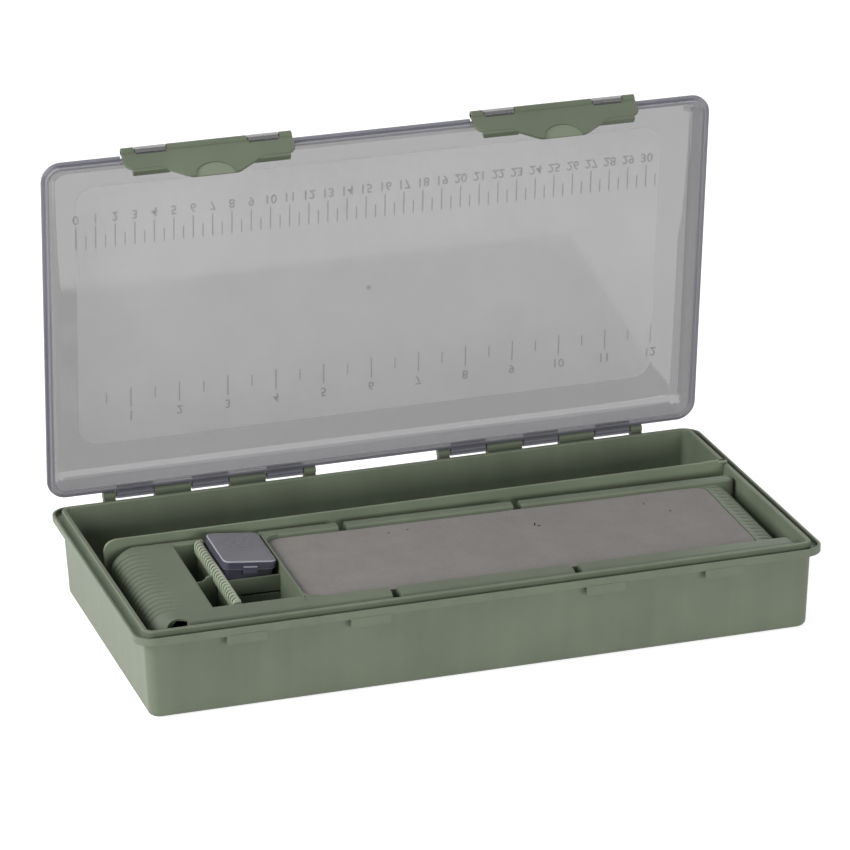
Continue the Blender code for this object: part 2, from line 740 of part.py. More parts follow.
def build_tray(tray_place):
    """The rig tray: rails round the foam recess, compartments at the left and hollow undersides."""
    tray = block("rig_tray", (tray_left, tray_front, tray_bottom), (tray_right, tray_back, tray_top),
                 tray_corner, tray_draft, tray_foot_round)
    profile = tray_profile()
    combine(tray, profile, "INTERSECT")
    deep = tray_bottom + tray_floor
    recess = block("recess", (foam_left - foam_gap, foam_front - foam_gap, recess_floor),
                   (foam_right + foam_gap, foam_back + foam_gap, tray_top + overrun), foam_corner)
    cells = block("cells", (slot_left, slot_front, deep), (cell_right, slot_back, tray_top + overrun))
    box_cell = block("box_cell", (comb_right + rest_gap, box_cell_front, shelf_top),
                     (cell_right, box_cell_back, tray_top + overrun))
    box_wall = block("box_wall", (comb_right + rest_gap, slot_back, box_wall_top),
                     (cell_right, tray_back + overrun, tray_top + overrun))
    under_foam = block("under_foam",
                       (foam_left + tray_wall / 2, tray_front + tray_wall + tray_draft, -overrun),
                       (strip_right - tray_wall, tray_back - tray_wall - tray_draft,
                        recess_floor - tray_floor))
    left_top = tray_top - left_end_round - tray_floor
    under_left = block("under_left",
                       (tray_left + tray_wall + tray_draft, tray_front + tray_wall + tray_draft, -overrun),
                       (slot_left - tray_wall, tray_back - tray_wall - tray_draft, left_top))
    notch = notch_cutter()
    cutting = [recess, cells, under_foam, under_left, notch, strip_cutter(), front_round(), *rail_cutters(),
               groove_cutter("left_grooves", tray_left, tray_top, left_end_round, -1),
               groove_cutter("right_grooves", strip_right, strip_top, right_end_round, 1)]
    cut(tray, *cutting)
    adding = [
        block("shelf", (comb_right + rest_gap, box_cell_front - shelf_thickness, shelf_top - shelf_thickness),
              (cell_right + tray_wall / 2, slot_back + tray_wall / 2, shelf_top)),
        block("shelf_lip",
              (comb_right + rest_gap, box_cell_front - shelf_thickness, shelf_top - shelf_thickness / 2),
              (cell_right + tray_wall / 2, box_cell_front, shelf_lip_top)),
        block("shelf_rest", (comb_right + rest_gap, box_cell_front - shelf_thickness / 2,
                             shelf_top - shelf_thickness / 2),
              (comb_right + rest_gap + shelf_rest_width, slot_back + tray_wall / 2,
               shelf_top + shelf_rest_height)),
        slot_divider()]
    join(tray, *adding)
    grooves = comb_grooves()
    cut(tray, box_cell, box_wall, *grooves)
    part(tray, green_tray)
    for shape in [tray, profile, box_cell, box_wall, *cutting, *adding, *grooves]:
        shape.parent = tray_place


def notch_cutter():
    """The finger notch in the front rail near the left end."""
    work = bmesh.new()
    place = Matrix.Translation((notch_place, notch_back - notch_radius, tray_top))
    bmesh.ops.create_cone(work, cap_ends=True, segments=round_sides * 2, radius1=notch_radius,
                          radius2=notch_radius, depth=notch_depth * 2, matrix=place)
    return helper("finger_notch", to_mesh("finger_notch", work))


def slot_divider():
    """The stepped cross wall in the narrow compartment, up to the comb's plate."""
    end = comb_middle - comb_plate / 2 - rest_gap
    start = slot_left - tray_wall / 2
    step = end - slot_divider_step
    bottom = tray_bottom + tray_floor / 2
    points = [(start, bottom), (end, bottom), (end, slot_divider_high - comb_tooth_height / 2),
              (comb_left - rest_gap, slot_divider_high - comb_tooth_height / 2),
              (comb_left - rest_gap, slot_divider_high), (step + divider_thickness, slot_divider_high),
              (step, slot_divider_low), (start, slot_divider_low)]
    wall = outline("slot_divider", points, divider_thickness / 2, "XZ")
    wall.location.y = slot_divider_back - divider_thickness / 2
    return wall


def comb_grooves():
    """Upright grooves in the front and rear rails, which hold the comb's plate and head."""
    reach = comb_plate / 2 + rest_gap
    plate = block("comb_slot",
                  (comb_middle - reach, comb_front - tray_wall - rest_gap, comb_bottom - rest_gap),
                  (comb_middle + reach, comb_back + rest_gap, tray_top + overrun))
    head = block("comb_head_slot",
                 (comb_left - rest_gap, slot_front - comb_slot_margin,
                  comb_root - comb_head_height - rest_gap),
                 (comb_right + rest_gap, comb_back + rest_gap, tray_top + overrun))
    return [plate, head]


def build_comb(tray_place):
    """The thread comb: a thin plate with a wider head and two staggered rows of leaning teeth."""
    comb = block("thread_comb", (comb_middle - comb_plate / 2, comb_front - tray_wall, comb_bottom),
                 (comb_middle + comb_plate / 2, comb_back, comb_root - comb_head_height / 2))
    head = block("comb_head", (comb_left, comb_front, comb_root - comb_head_height),
                 (comb_right, comb_back, comb_root))
    work = bmesh.new()
    half = comb_head_width / 2
    sink = comb_tooth_height / 4
    for row, low in ((0, comb_left), (1, comb_left + half)):
        for step in range(comb_count):
            start = comb_front + comb_tooth_lean + step * comb_pitch + row * comb_pitch / 2
            place = Matrix.Translation((low + half / 2, start + comb_tooth_length / 2,
                                        comb_root + comb_tooth_height / 2 - sink))
            size = Matrix.Diagonal((half - rest_gap * row, comb_tooth_length,
                                    comb_tooth_height + sink * 2, 1))
            made = bmesh.ops.create_cube(work, size=1, matrix=place @ size)
            for vert in made["verts"]:
                if vert.co.z > comb_root + comb_tooth_height / 2:
                    vert.co.y += comb_tooth_lean * (1 - 2 * row) + (place.translation.y - vert.co.y) / 2
    teeth = helper("comb_teeth", to_mesh("comb_teeth", work))
    join(comb, head, teeth)
    part(comb, green_comb)
    for shape in (comb, head, teeth):
        shape.parent = tray_place


def build_foam(tray_place):
    """The flat foam board in the tray's recess."""
    foam = block("foam_board", (foam_left, foam_front, foam_bottom), (foam_right, foam_back, foam_top),
                 foam_corner)
    part(foam, grey_foam, tray_place)


def build_bit_box(tray_place):
    """The small clear box, tipped a little on its shelf, with a hinged lid."""
    place = (bit_box_x, bit_box_y, bit_box_z)
    box_place = bpy.data.objects.new("bit_box_place", None)
    parts.objects.link(box_place)
    box_place.location = place
    box_place.rotation_euler = (0, math.radians(bit_box_tilt_deg), 0)
    box_place.parent = tray_place
    half_x = bit_body_length / 2
    half_y = bit_body_width / 2
    lid_x = half_x + rest_gap + bit_lid_wall
    lid_y = half_y + rest_gap + bit_lid_wall
    lid_bottom = bit_body_height + rest_gap + bit_lid_top - bit_lid_height
    pin_y = lid_y + rest_gap + bit_hinge_radius
    pin_z = lid_bottom + rest_gap
    body = block("bit_box_body", (-half_x, -half_y, 0), (half_x, half_y, bit_body_height), bit_corner,
                 steps=small_steps)
    hollow = block("bit_hollow", (-half_x + bit_wall, -half_y + bit_wall, bit_wall),
                   (half_x - bit_wall, half_y - bit_wall, bit_body_height + overrun), bit_corner - bit_wall,
                   steps=small_steps)
    cut(body, hollow)
    lugs = []
    for side in (-1, 1):
        near = bit_hinge_half + knuckle_gap
        low, high = sorted((side * near, side * (near + bit_lug_length)))
        lugs.append(rod(f"bit_lug_{side}", bit_hinge_radius, low, high, pin_z, pin_y, groove_sides))
        lugs.append(block(f"bit_bracket_{side}",
                          (low + bracket_side, half_y - bit_wall / 2, lid_bottom - bit_hinge_radius * 2),
                          (high - bracket_side, pin_y + bit_hinge_radius * bracket_back_share,
                           lid_bottom - rest_gap)))
    bump_top = lid_bottom - bit_tab_height / 2 - rest_gap
    lugs.append(block("bit_bump", (-bit_tab_half, -half_y - bit_bump_height, bump_top - bit_bump_height),
                      (bit_tab_half, -half_y + bit_wall / 2, bump_top)))
    join(body, *lugs)
    lid_hinge = bpy.data.objects.new("bit_lid_axis", None)
    parts.objects.link(lid_hinge)
    lid_hinge.location = (0, pin_y, pin_z)
    lid_hinge.parent = box_place
    lid = block("bit_box_lid", (-lid_x, -lid_y - pin_y, lid_bottom - pin_z),
                (lid_x, lid_y - pin_y, lid_bottom + bit_lid_height - pin_z), bit_corner + bit_lid_wall,
                head=bit_head_round, steps=small_steps)
    under = block("bit_lid_hollow",
                  (-lid_x + bit_lid_wall, -lid_y + bit_lid_wall - pin_y, lid_bottom - overrun - pin_z),
                  (lid_x - bit_lid_wall, lid_y - bit_lid_wall - pin_y, bit_body_height + rest_gap - pin_z),
                  bit_corner, steps=small_steps)
    cut(lid, under)
    ears = [rod("bit_lid_lug", bit_hinge_radius, -bit_hinge_half, bit_hinge_half, 0, 0, groove_sides),
            block("bit_lid_bracket",
                  (-bit_hinge_half + bracket_side, lid_y - bit_lid_wall / 2 - pin_y,
                   lid_bottom - pin_z + bracket_side),
                  (bit_hinge_half - bracket_side, 0, bit_hinge_radius / 2)),
            block("bit_tab",
                  (-bit_tab_half, -lid_y - bit_tab_thickness - pin_y,
                   lid_bottom - bit_tab_height / 2 - pin_z),
                  (bit_tab_half, -lid_y + bit_lid_wall / 2 - pin_y, lid_bottom + bit_tab_height / 2 - pin_z))]
    join(lid, *ears)
    part(body, smoke_box)
    part(lid, smoke_cap)
    for shape in [body, hollow, *lugs]:
        shape.parent = box_place
    for shape in [lid, under, *ears]:
        shape.parent = lid_hinge


def build_all():
    build_base()
    lid_axis = axis_empty("lid_axis", (0, hinge_y, hinge_z), turn=(-math.radians(lid_open_deg), 0, 0))
    build_lid(lid_axis)
    build_latch("left", -latch_centre, lid_axis)
    build_latch("right", latch_centre, lid_axis)
    build_divider()
    tray_place = bpy.data.objects.new("tray_place", None)
    parts.objects.link(tray_place)
    tray_place.rotation_euler = (0, 0, math.radians(tray_turn_deg))
    build_tray(tray_place)
    build_comb(tray_place)
    build_foam(tray_place)
    build_bit_box(tray_place)


build_all()
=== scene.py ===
from math import copysign, cos, radians, sin, sqrt, tan

import bmesh
import bpy
from mathutils import Matrix, Vector, noise


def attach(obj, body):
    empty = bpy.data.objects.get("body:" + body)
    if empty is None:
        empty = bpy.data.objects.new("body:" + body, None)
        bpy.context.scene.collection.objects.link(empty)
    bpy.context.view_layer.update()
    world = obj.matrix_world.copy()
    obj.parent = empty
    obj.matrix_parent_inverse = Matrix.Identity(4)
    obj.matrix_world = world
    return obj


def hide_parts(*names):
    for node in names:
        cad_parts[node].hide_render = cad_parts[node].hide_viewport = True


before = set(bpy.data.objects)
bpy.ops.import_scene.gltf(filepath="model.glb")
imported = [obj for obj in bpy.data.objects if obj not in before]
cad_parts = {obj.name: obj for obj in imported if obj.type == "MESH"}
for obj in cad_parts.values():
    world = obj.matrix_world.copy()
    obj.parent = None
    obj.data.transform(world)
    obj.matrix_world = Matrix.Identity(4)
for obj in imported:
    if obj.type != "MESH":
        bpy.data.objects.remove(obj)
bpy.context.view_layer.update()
scene = bpy.context.scene

# Sizes of the base. These and most of those below are as in the part's source
base_length = 0.3488
base_width = 0.1842
base_corner = 0.010
lip_bottom = 0.0399
lip_top = 0.0436
lip_thickness = 0.0015
channel_floor = 0.0415
wall_height = 0.0454
wall_inset = 0.0049
wall_draft = 0.0018
wall_thickness = 0.0020
floor_thickness = 0.0020
floor_round = 0.0030
rest_gap = 0.0003
side_gap = 0.0006
keeper_height = 0.0043
keeper_thickness = 0.0018
keeper_length = 0.0200
room_draft_start = 0.010
floor_ring = 0.006
floor_ring_corner = 0.0015

# Sizes of the lid
lid_open_deg = 83.1
lid_crown_inset = 0.0027
lid_crown_draft = 0.0020
lid_wall = 0.0016
lid_panel = 0.0018
lid_depth = 0.0099
lid_crown_round = 0.0086
lid_inner_round = 0.0076
lid_ring = 0.020
lid_ring_corners = (0.004, 0.003)
flange_thickness = 0.0018
tongue_inset = 0.0018
tongue_thickness = 0.0014
tongue_depth = 0.0020

# Sizes of the hinge
knuckle_radius = 0.0022
hinge_back = 0.0026
hinge_start = 0.0330
end_knuckle = 0.0065
base_knuckle = 0.0195
lid_knuckle = 0.0193
knuckle_gap = 0.0004
bracket_depth = 0.0005
bracket_side = 0.0002
bracket_back = 0.00176

# Sizes of the latches
latch_centre = 0.0902
latch_half_length = 0.0435
latch_rest_deg = 26.0
latch_axis_out = 0.0015
latch_axis_rise = 0.0005
latch_barrel_radius = 0.00198
latch_plate = 0.0016
latch_plate_inner = 0.0009
latch_length = 0.0208
latch_tongue_half = 0.0120
latch_dish_half = 0.0102
latch_dish_height = 0.0085
latch_dish_floor = -0.0005
latch_dish_drop = 0.0005
latch_dish_reach = 0.01
latch_ear_length = 0.0121
latch_ear_round = 0.0045
latch_top_round = 0.0012
latch_shoulder_round = 0.0060
latch_tongue_round = 0.0050
latch_shoulder_half = 0.0260
latch_flare = 0.0022
latch_flare_length = 0.0308
latch_bend_count = 12
latch_bend_step = 0.0018
latch_window_inner = 0.0205
latch_window_outer = 0.0370
latch_window_drop = 0.0036
latch_eye_gap = 0.0004
hook_inner = 0.0213
hook_outer = 0.0401
hook_reach = 0.0026
hook_height = 0.0031
latch_relief_inset = 0.0016
latch_relief_reach = 0.0442
latch_relief_depth = 0.005
relief_step = 0.00004

# Sizes of the divider
divider_front = 0.0305
divider_thickness = 0.0018
divider_top = 0.0468
divider_left = 0.1609
divider_corner = 0.0060
divider_foot_round = 0.0015
divider_tab_round = 0.002
divider_tab_rise = 0.0004
divider_tab_reach = 0.0014
bead_length = 0.0030
bead_front = 0.0012
bead_back = 0.0002

# Sizes of the rig tray
tray_turn_deg = -1.4
tray_left = -0.1604
tray_right = 0.1658
tray_front = -0.0795
tray_back = 0.0235
tray_top = 0.0438
tray_bottom = 0.0023
tray_floor_top = 0.0045
tray_corner = 0.0070
tray_draft = 0.0015
tray_foot_round = 0.0030
slot_left = -0.1282
strip_right = 0.1612
strip_top = 0.0420
front_rail_round = 0.0035
rail_round = 0.0018
rail_inner_round = 0.0012
rail_wall = 0.0022
rail_thin = 0.003
rail_web = 0.003
rail_low_depth = 0.004
nose_limit = 0.92
nose_neck = 0.002
front_nose = 0.0055
rear_nose = 0.0040
land_roll = (0.0135, 0.0105)
land_fade = (0.0185, 0.0090)
strip_roll = (0.0085, 0.0060)
strip_fade = (0.0108, 0.0082)
end_step = 0.00032
end_flat_step = 0.0012
end_lean_reach = 0.04

# Sizes of the foam
foam_top = 0.0418
foam_thickness = 0.0040
foam_left = -0.0819
foam_right = 0.1485
foam_front = -0.0671
foam_back = 0.0153
foam_corner = 0.0070
foam_gap = 0.0004
foam_step = 0.0025
foam_dents = ((90, 0.00012), (28, 0.00018))
recess_end = 0.002
recess_side = 0.004
recess_wall = 0.003
filler_drop = 0.00003

# Sizes of the tray's cells
slot_back = 0.0185
slot_front = -0.0655
cell_right = -0.0836
box_cell_back = 0.0227
box_cell_front = -0.0195
box_wall_top = 0.0415
shelf_top = 0.0308
shelf_thickness = 0.0016
shelf_lip_top = 0.0375
shelf_bar_top = 0.0284
shelf_rest_height = 0.0024
shelf_rest_width = 0.0030
shelf_post_width = 0.0090
slot_divider_back = -0.0220
slot_divider_low = 0.0395
slot_divider_high = 0.0420
slot_divider_step = 0.0062
slot_divider_ramp = 0.0018
slot_divider_round = 0.0012

# Sizes of the slots in the rails, the scallops and the finger notch
rail_slot_width = 0.0043
rail_slot_depth = 0.0060
rear_slot_places = (-0.0416, 0.0497)
front_slot_places = (-0.0398, 0.0522)
groove_pitch = 0.0050
groove_first = -0.0620
groove_count = 16
groove_depth = 0.0022
groove_drop = 0.0150
groove_fade = 0.0050
groove_bend = 0.96
notch_radius = 0.0064
notch_place = -0.1482
notch_back = -0.0753
notch_depth = 0.0380
notch_top = 0.0427
notch_lead = 0.0035
notch_side = 0.0080
notch_slope = 0.0055

# Sizes of the comb
comb_left = -0.1172
comb_head_width = 0.0044
comb_plate = 0.0018
comb_head_height = 0.0035
comb_root = 0.0410
comb_tooth_height = 0.0036
comb_rib_shift = 0.0004
comb_bar_face = 0.000001
comb_tail = 0.0022
comb_bar_inset = 0.0011
comb_rib_drop = 0.0002
comb_rib_half = 0.00118
comb_rib_square = 0.75
comb_rib_blunt = 0.7
comb_rib_turn = 0.0013
comb_rib_lean = 0.0010
comb_rib_bow = 0.0006
comb_pitch = 0.0036
comb_count = 23
comb_back = 0.0205
comb_front = -0.0640
comb_bottom = 0.0075

# Sizes of the bit box
bit_box_tilt_deg = 5.8
bit_box_place = (-0.09925, 0.0003, 0.03257)
bit_body_length = 0.0246
bit_body_width = 0.0382
bit_body_height = 0.0119
bit_wall = 0.0011
bit_corner = 0.0025
bit_lid_wall = 0.0009
bit_lid_height = 0.0044
bit_lid_top = 0.0012
bit_hinge_radius = 0.0007
bit_hinge_half = 0.0026
bit_lug_length = 0.0030
bit_tab_half = 0.0035
bit_tab_thickness = 0.0010
bit_tab_height = 0.0036
bit_catch = 0.0009
bit_ring = 0.006
bit_rim = 0.0011
bit_foot_rim = 0.0007
bit_top_rim = 0.0012

# The lid's markings and tones, and the bounds of the painted shade on its rim and of the painted shade and
# highlight on the bit box's cover
ruler_zero = -0.155
ruler_step = 0.010
ruler_numbers = 31
ruler_foot = -0.0400
ruler_long = -0.0520
ruler_short = -0.0470
ruler_digits = -0.0565
inch_zero = -0.1534
inch_step = 0.0254
inch_numbers = 12
inch_long = (0.0390, 0.0500)
inch_short = (0.0405, 0.0465)
inch_digits = 0.0548
digit_size = 0.0068
digit_swell = 0.00008
mark_height = 0.00022
mark_half = 0.00032
mark_root = 0.00005
frost_span_x = (-0.155, 0.152)
frost_span_y = (-0.073, 0.069)
frost_corner = 0.010
frost_height = 0.00008
frost_root = 0.00003
frost_edge = 0.00004
gate_place = (-0.003, -0.001)
gate_radii = (0.0011, 0.0014)
gate_depth = 0.0005
rim_inner = 0.0019
rim_width = 0.0060
rim_inward = 0.4
upright = 0.25
nearly_flat = 0.97
web_half = 0.0040
web_front = 0.0034
web_back = 0.0020

# Marks in the foam: place, length and turn in degrees
foam_nicks = ((0.0515, -0.0070, 0.0045, 70), (0.0530, -0.0095, 0.0022, 20), (0.1120, 0.0020, 0.0028, 80),
              (0.1215, -0.0115, 0.0016, 40), (-0.0210, 0.0050, 0.0014, 10), (-0.0110, 0.0060, 0.0018, 15))
nick_half_width = 0.00028
nick_half_depth = 0.00020
nick_drop = 0.00006

# Small rounds, and how far joined shapes run into each other
edge_tiny = 0.0002
edge_fine = 0.0003
edge_small = 0.0004
edge_rim = 0.0005
edge_soft = 0.0006
edge_broad = 0.0007
edge_round = 0.0008
edge_full = 0.0009
ring_corner = 0.001
touch = 0.0001
joint_fine = 0.0002
joint = 0.0005
overlap = 0.0008
sunk = 0.001
weld = 0.000001
side_share = 0.49
straight_deg = 89

# Camera from the photograph's perspective, light and floor
camera_turn_deg = -17.118
camera_rise_deg = 20.167
camera_roll_deg = -1.1
camera_place = (-0.63307, -2.04741, 0.88538)
camera_sensor = 36
camera_focal_share = 4618.5 / 850
light_target = Vector((0, 0, 0.03))
world_light = 0.12
floor_lift = 0.77
floor_half = 9
floor_drop = 0.0002

# Places worked out from the sizes above
half_length = base_length / 2
half_width = base_width / 2
half_base = (half_length, half_width)
rim_bottom = lip_top + rest_gap
lid_ceiling = rim_bottom + lid_depth
lid_top = lid_ceiling + lid_panel
hinge_y = half_width + hinge_back
hinge_z = rim_bottom + flange_thickness
latch_y = -half_width - latch_axis_out
latch_z = hinge_z + latch_axis_rise
latch_dish_low = -latch_length - latch_dish_drop
keeper_bottom = lip_bottom - keeper_height
comb_right = comb_left + comb_head_width
comb_middle = comb_left + comb_head_width / 2
inner_half_length = half_length - wall_inset - wall_thickness
recess_floor = foam_top - foam_thickness - rest_gap
bit_half = (bit_body_length / 2, bit_body_width / 2)
bit_lid_low = bit_body_height + rest_gap + bit_lid_top - bit_lid_height
bit_lid_half = (bit_half[0] + rest_gap + bit_lid_wall, bit_half[1] + rest_gap + bit_lid_wall)
bit_pin_y = bit_lid_half[1] + rest_gap + bit_hinge_radius
bit_pin_z = bit_lid_low + rest_gap


def turned(place, degrees, axis):
    """A matrix that turns about an axis and then moves to a place."""
    return Matrix.Translation(place) @ Matrix.Rotation(radians(degrees), 4, axis)


lid_frame = turned((0, hinge_y, hinge_z), -lid_open_deg, "X") @ Matrix.Translation((0, -hinge_y, -hinge_z))
tray_frame = turned((0, 0, 0), tray_turn_deg, "Z")
box_frame = tray_frame @ turned(bit_box_place, bit_box_tilt_deg, "Y")
still = Matrix.Identity(4)


# Small tools
def arc(turns):
    """The cosine and the sine of some angles in degrees."""
    return [(cos(radians(turn)), sin(radians(turn))) for turn in turns]


def clamp(value):
    return min(1, max(0, value))


def both_sides(inner, outer):
    """A stretch along X on the left and on the right of the middle."""
    return (-outer, -inner), (inner, outer)


def shown(name, data):
    made = bpy.data.objects.new(name, data)
    scene.collection.objects.link(made)
    return made


def faces_for(made, matrix, *looks):
    """Give a piece more looks, and list its faces with their middles and normals as drawn."""
    for look in looks:
        made.data.materials.append(look)
    back = matrix.inverted()
    turn = back.to_3x3()
    return [(face, back @ face.center, turn @ face.normal) for face in made.data.polygons]


# Shape tools
def shape_mesh(work):
    bmesh.ops.recalc_face_normals(work, faces=work.faces[:])
    mesh = bpy.data.meshes.new("shape")
    work.to_mesh(mesh)
    work.free()
    return mesh


def piece(name, shapes, look, body, nodes=(), matrix=still, sharp_deg=38, even=True):
    """Join closed shapes into one shown piece with its own look, riding on a body of the part."""
    work = bmesh.new()
    for shape in shapes:
        mesh = shape_mesh(shape)
        work.from_mesh(mesh)
        bpy.data.meshes.remove(mesh)
    mesh = bpy.data.meshes.new(name)
    work.to_mesh(mesh)
    work.free()
    mesh.transform(matrix)
    made = shown(name, mesh)
    mesh.materials.append(look)
    mesh.polygons.foreach_set("use_smooth", [True] * len(mesh.polygons))
    mesh.set_sharp_from_angle(angle=radians(sharp_deg))
    if even:
        change = made.modifiers.new("even_normals", "WEIGHTED_NORMAL")
        change.keep_sharp = True
    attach(made, body)
    if nodes:
        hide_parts(*nodes)
    return made


def fillet(points, steps=4, closed=True):
    """Round a line's corners. Each point is its place, in two or three numbers, and a radius."""
    places = [Vector(point[0]).to_3d() for point in points]
    done = []
    last = len(points) - 1
    for index, (_, radius) in enumerate(points):
        here = places[index]
        before = places[index - 1] - here
        after = places[(index + 1) % len(points)] - here
        half = before.angle(after, 0) / 2
        if radius <= 0 or half > radians(straight_deg) or (not closed and index in (0, last)):
            done.append(here)
            continue
        reach = min(radius / tan(half), before.length * side_share, after.length * side_share)
        before.normalize()
        after.normalize()
        middle = here + (before + after).normalized() * reach * tan(half) / sin(half)
        start = here + before * reach - middle
        end = here + after * reach - middle
        whole = start.angle(end)
        for step in range(steps + 1):
            share = step / steps
            done.append(middle + (start * sin((1 - share) * whole) + end * sin(share * whole)) / sin(whole))
    return done


def ring(half, inset, level, radius, front=(), steps=10):
    """Points round a rounded rectangle, with extra ones along its front side."""
    reach_x = half[0] - inset
    reach_y = half[1] - inset
    radius = max(radius, touch)
    points = []
    for side_x, side_y, start in ((1, -1, -90), (1, 1, 0), (-1, 1, 90), (-1, -1, 180)):
        for cosine, sine in arc(start + 90 * step / steps for step in range(steps + 1)):
            points.append(Vector((side_x * (reach_x - radius) + radius * cosine,
                                  side_y * (reach_y - radius) + radius * sine, level)))
    return points + [Vector((place, -reach_y, level)) for place in front]


def skin(work, rows):
    """Join rows of points into a closed skin with a cap at each end."""
    count = len(rows[0])
    for one, two in zip(rows, rows[1:]):
        for index in range(count):
            after = (index + 1) % count
            work.faces.new((one[index], one[after], two[after], two[index]))
    work.faces.new(rows[0])
    work.faces.new(rows[-1])
    return work


def welded(work):
    bmesh.ops.remove_doubles(work, verts=work.verts[:], dist=weld)
    return work


def moved(work, matrix):
    bmesh.ops.transform(work, matrix=matrix, verts=work.verts[:])
    return work


def sweep(half, profile, front=(), change=None, steps=10):
    """A closed solid of rings; each profile point is an inset, a level and a corner radius."""
    work = bmesh.new()
    rings = []
    for inset, level, radius in profile:
        points = ring(half, inset, level, radius, front, steps)
        rings.append([work.verts.new(change(point) if change else point) for point in points])
    return welded(skin(work, rings))


def soften(work, rims, edge, steps=2):
    """Round some edges of a shape."""
    bmesh.ops.bevel(work, geom=rims, offset=edge, segments=steps, profile=0.5, affect="EDGES")
    return work


def slab(low, high, edge=edge_fine, steps=2):
    """A box between two corners with rounded edges."""
    low, high = Vector(low), Vector(high)
    size = high - low
    work = bmesh.new()
    place = Matrix.Translation((low + high) / 2) @ Matrix.Diagonal((*size, 1))
    bmesh.ops.create_cube(work, size=1, matrix=place)
    return soften(work, work.edges[:], min(edge, min(size) * 0.4), steps)


def cone(low_radius, high_radius, depth, matrix, sides):
    work = bmesh.new()
    bmesh.ops.create_cone(work, cap_ends=True, segments=sides, radius1=low_radius, radius2=high_radius,
                          depth=depth, matrix=matrix)
    return work


def rod(radius, start, end, height, place, edge=edge_fine, sides=40):
    """A round bar along X with rounded ends."""
    work = cone(radius, radius, end - start, turned(((start + end) / 2, place, height), 90, "Y"), sides)
    rims = [side for side in work.edges if abs(side.verts[0].co.x - side.verts[1].co.x) < edge / 10]
    return soften(work, rims, edge)


def ball(segments, rings):
    work = bmesh.new()
    bmesh.ops.create_uvsphere(work, u_segments=segments, v_segments=rings, radius=1)
    return work


def split(work, place, normal):
    """Cut a shape's faces along a plane, so that it can bend there."""
    bmesh.ops.bisect_plane(work, geom=work.verts[:] + work.edges[:] + work.faces[:], dist=weld,
                           plane_co=place, plane_no=normal)


def field(low_x, high_x, low_y, high_y, radius=0, steps=10):
    """The outline of a rectangle with rounded corners."""
    corners = ((low_x, low_y), (high_x, low_y), (high_x, high_y), (low_x, high_y))
    return fillet([(corner, radius) for corner in corners], steps)


def prism(points, low, high, axis, edge=edge_small, steps=2, ends=(True, True)):
    """An outline carried along an axis from low to high, with its rims rounded."""
    spot = "XYZ".index(axis)
    work = bmesh.new()
    loops = [[work.verts.new((*point[:spot], level, *point[spot:2])) for point in points]
             for level in (low, high)]
    rims = []
    for loop, rounded in zip(loops, ends):
        cap = work.faces.new(loop)
        if rounded:
            rims += cap.edges[:]
    for index in range(len(points)):
        after = (index + 1) % len(points)
        work.faces.new((loops[0][index], loops[0][after], loops[1][after], loops[1][index]))
    return soften(work, rims, edge, steps) if edge and rims else work


def boolean(shape, other, operation="DIFFERENCE"):
    """Cut one shape with another, or unite them, and give the result as a bmesh."""
    pair = [shown("boolean", shape_mesh(source)) for source in (shape, other)]
    change = pair[0].modifiers.new("boolean", "BOOLEAN")
    change.operation = operation
    change.solver = "EXACT"
    change.object = pair[1]
    graph = bpy.context.evaluated_depsgraph_get()
    work = bmesh.new()
    work.from_object(pair[0], graph)
    for made in pair:
        mesh = made.data
        bpy.data.objects.remove(made)
        bpy.data.meshes.remove(mesh)
    return work


def knuckle_spans(owner):
    """Where the base's or the lid's hinge knuckles start and end along X."""
    spans = []
    spot = hinge_start
    row = [("base", end_knuckle), ("lid", lid_knuckle), ("base", base_knuckle), ("lid", lid_knuckle),
           ("base", base_knuckle), ("lid", lid_knuckle), ("base", end_knuckle)]
    for whose, length in row:
        if whose == owner:
            spans.append((spot, spot + length))
        spot += length + knuckle_gap
    return spans + [(-high, -low) for low, high in spans]


# Materials
def plug(tree, socket, value):
    """Link a socket to another one, or give it a plain value."""
    if isinstance(value, bpy.types.NodeSocket):
        tree.links.new(value, socket)
    else:
        socket.default_value = value


def dress(tree, node, **values):
    """Plug a node's inputs. A _ in a name stands for a space."""
    for key, value in values.items():
        plug(tree, node.inputs[key.replace("_", " ")], value)


def wire(tree, kind, settings=None, **values):
    """A new shader node with its settings and inputs."""
    node = tree.nodes.new(kind)
    for key, value in (settings or {}).items():
        setattr(node, key, value)
    dress(tree, node, **values)
    return node


def sum_up(tree, operation, *values):
    """The output of a maths node for some sockets or numbers."""
    node = wire(tree, "ShaderNodeMath", {"operation": operation})
    for socket, value in zip(node.inputs, values):
        plug(tree, socket, value)
    return node.outputs["Value"]


def cloud(tree, scale, detail, settings=None, **values):
    """The output of a noise texture."""
    return wire(tree, "ShaderNodeTexNoise", settings, Scale=scale, Detail=detail, **values).outputs["Fac"]


def spread(tree, value, share):
    """Noise stretched to a factor of 1 give or take a share."""
    node = wire(tree, "ShaderNodeMapRange", Value=value, From_Min=0.3, From_Max=0.7, To_Min=1 - share,
                To_Max=1 + share)
    return node.outputs["Result"]


def new_material(name):
    made = bpy.data.materials.new(name)
    made.use_nodes = True
    return made, made.node_tree, made.node_tree.nodes["Principled BSDF"]


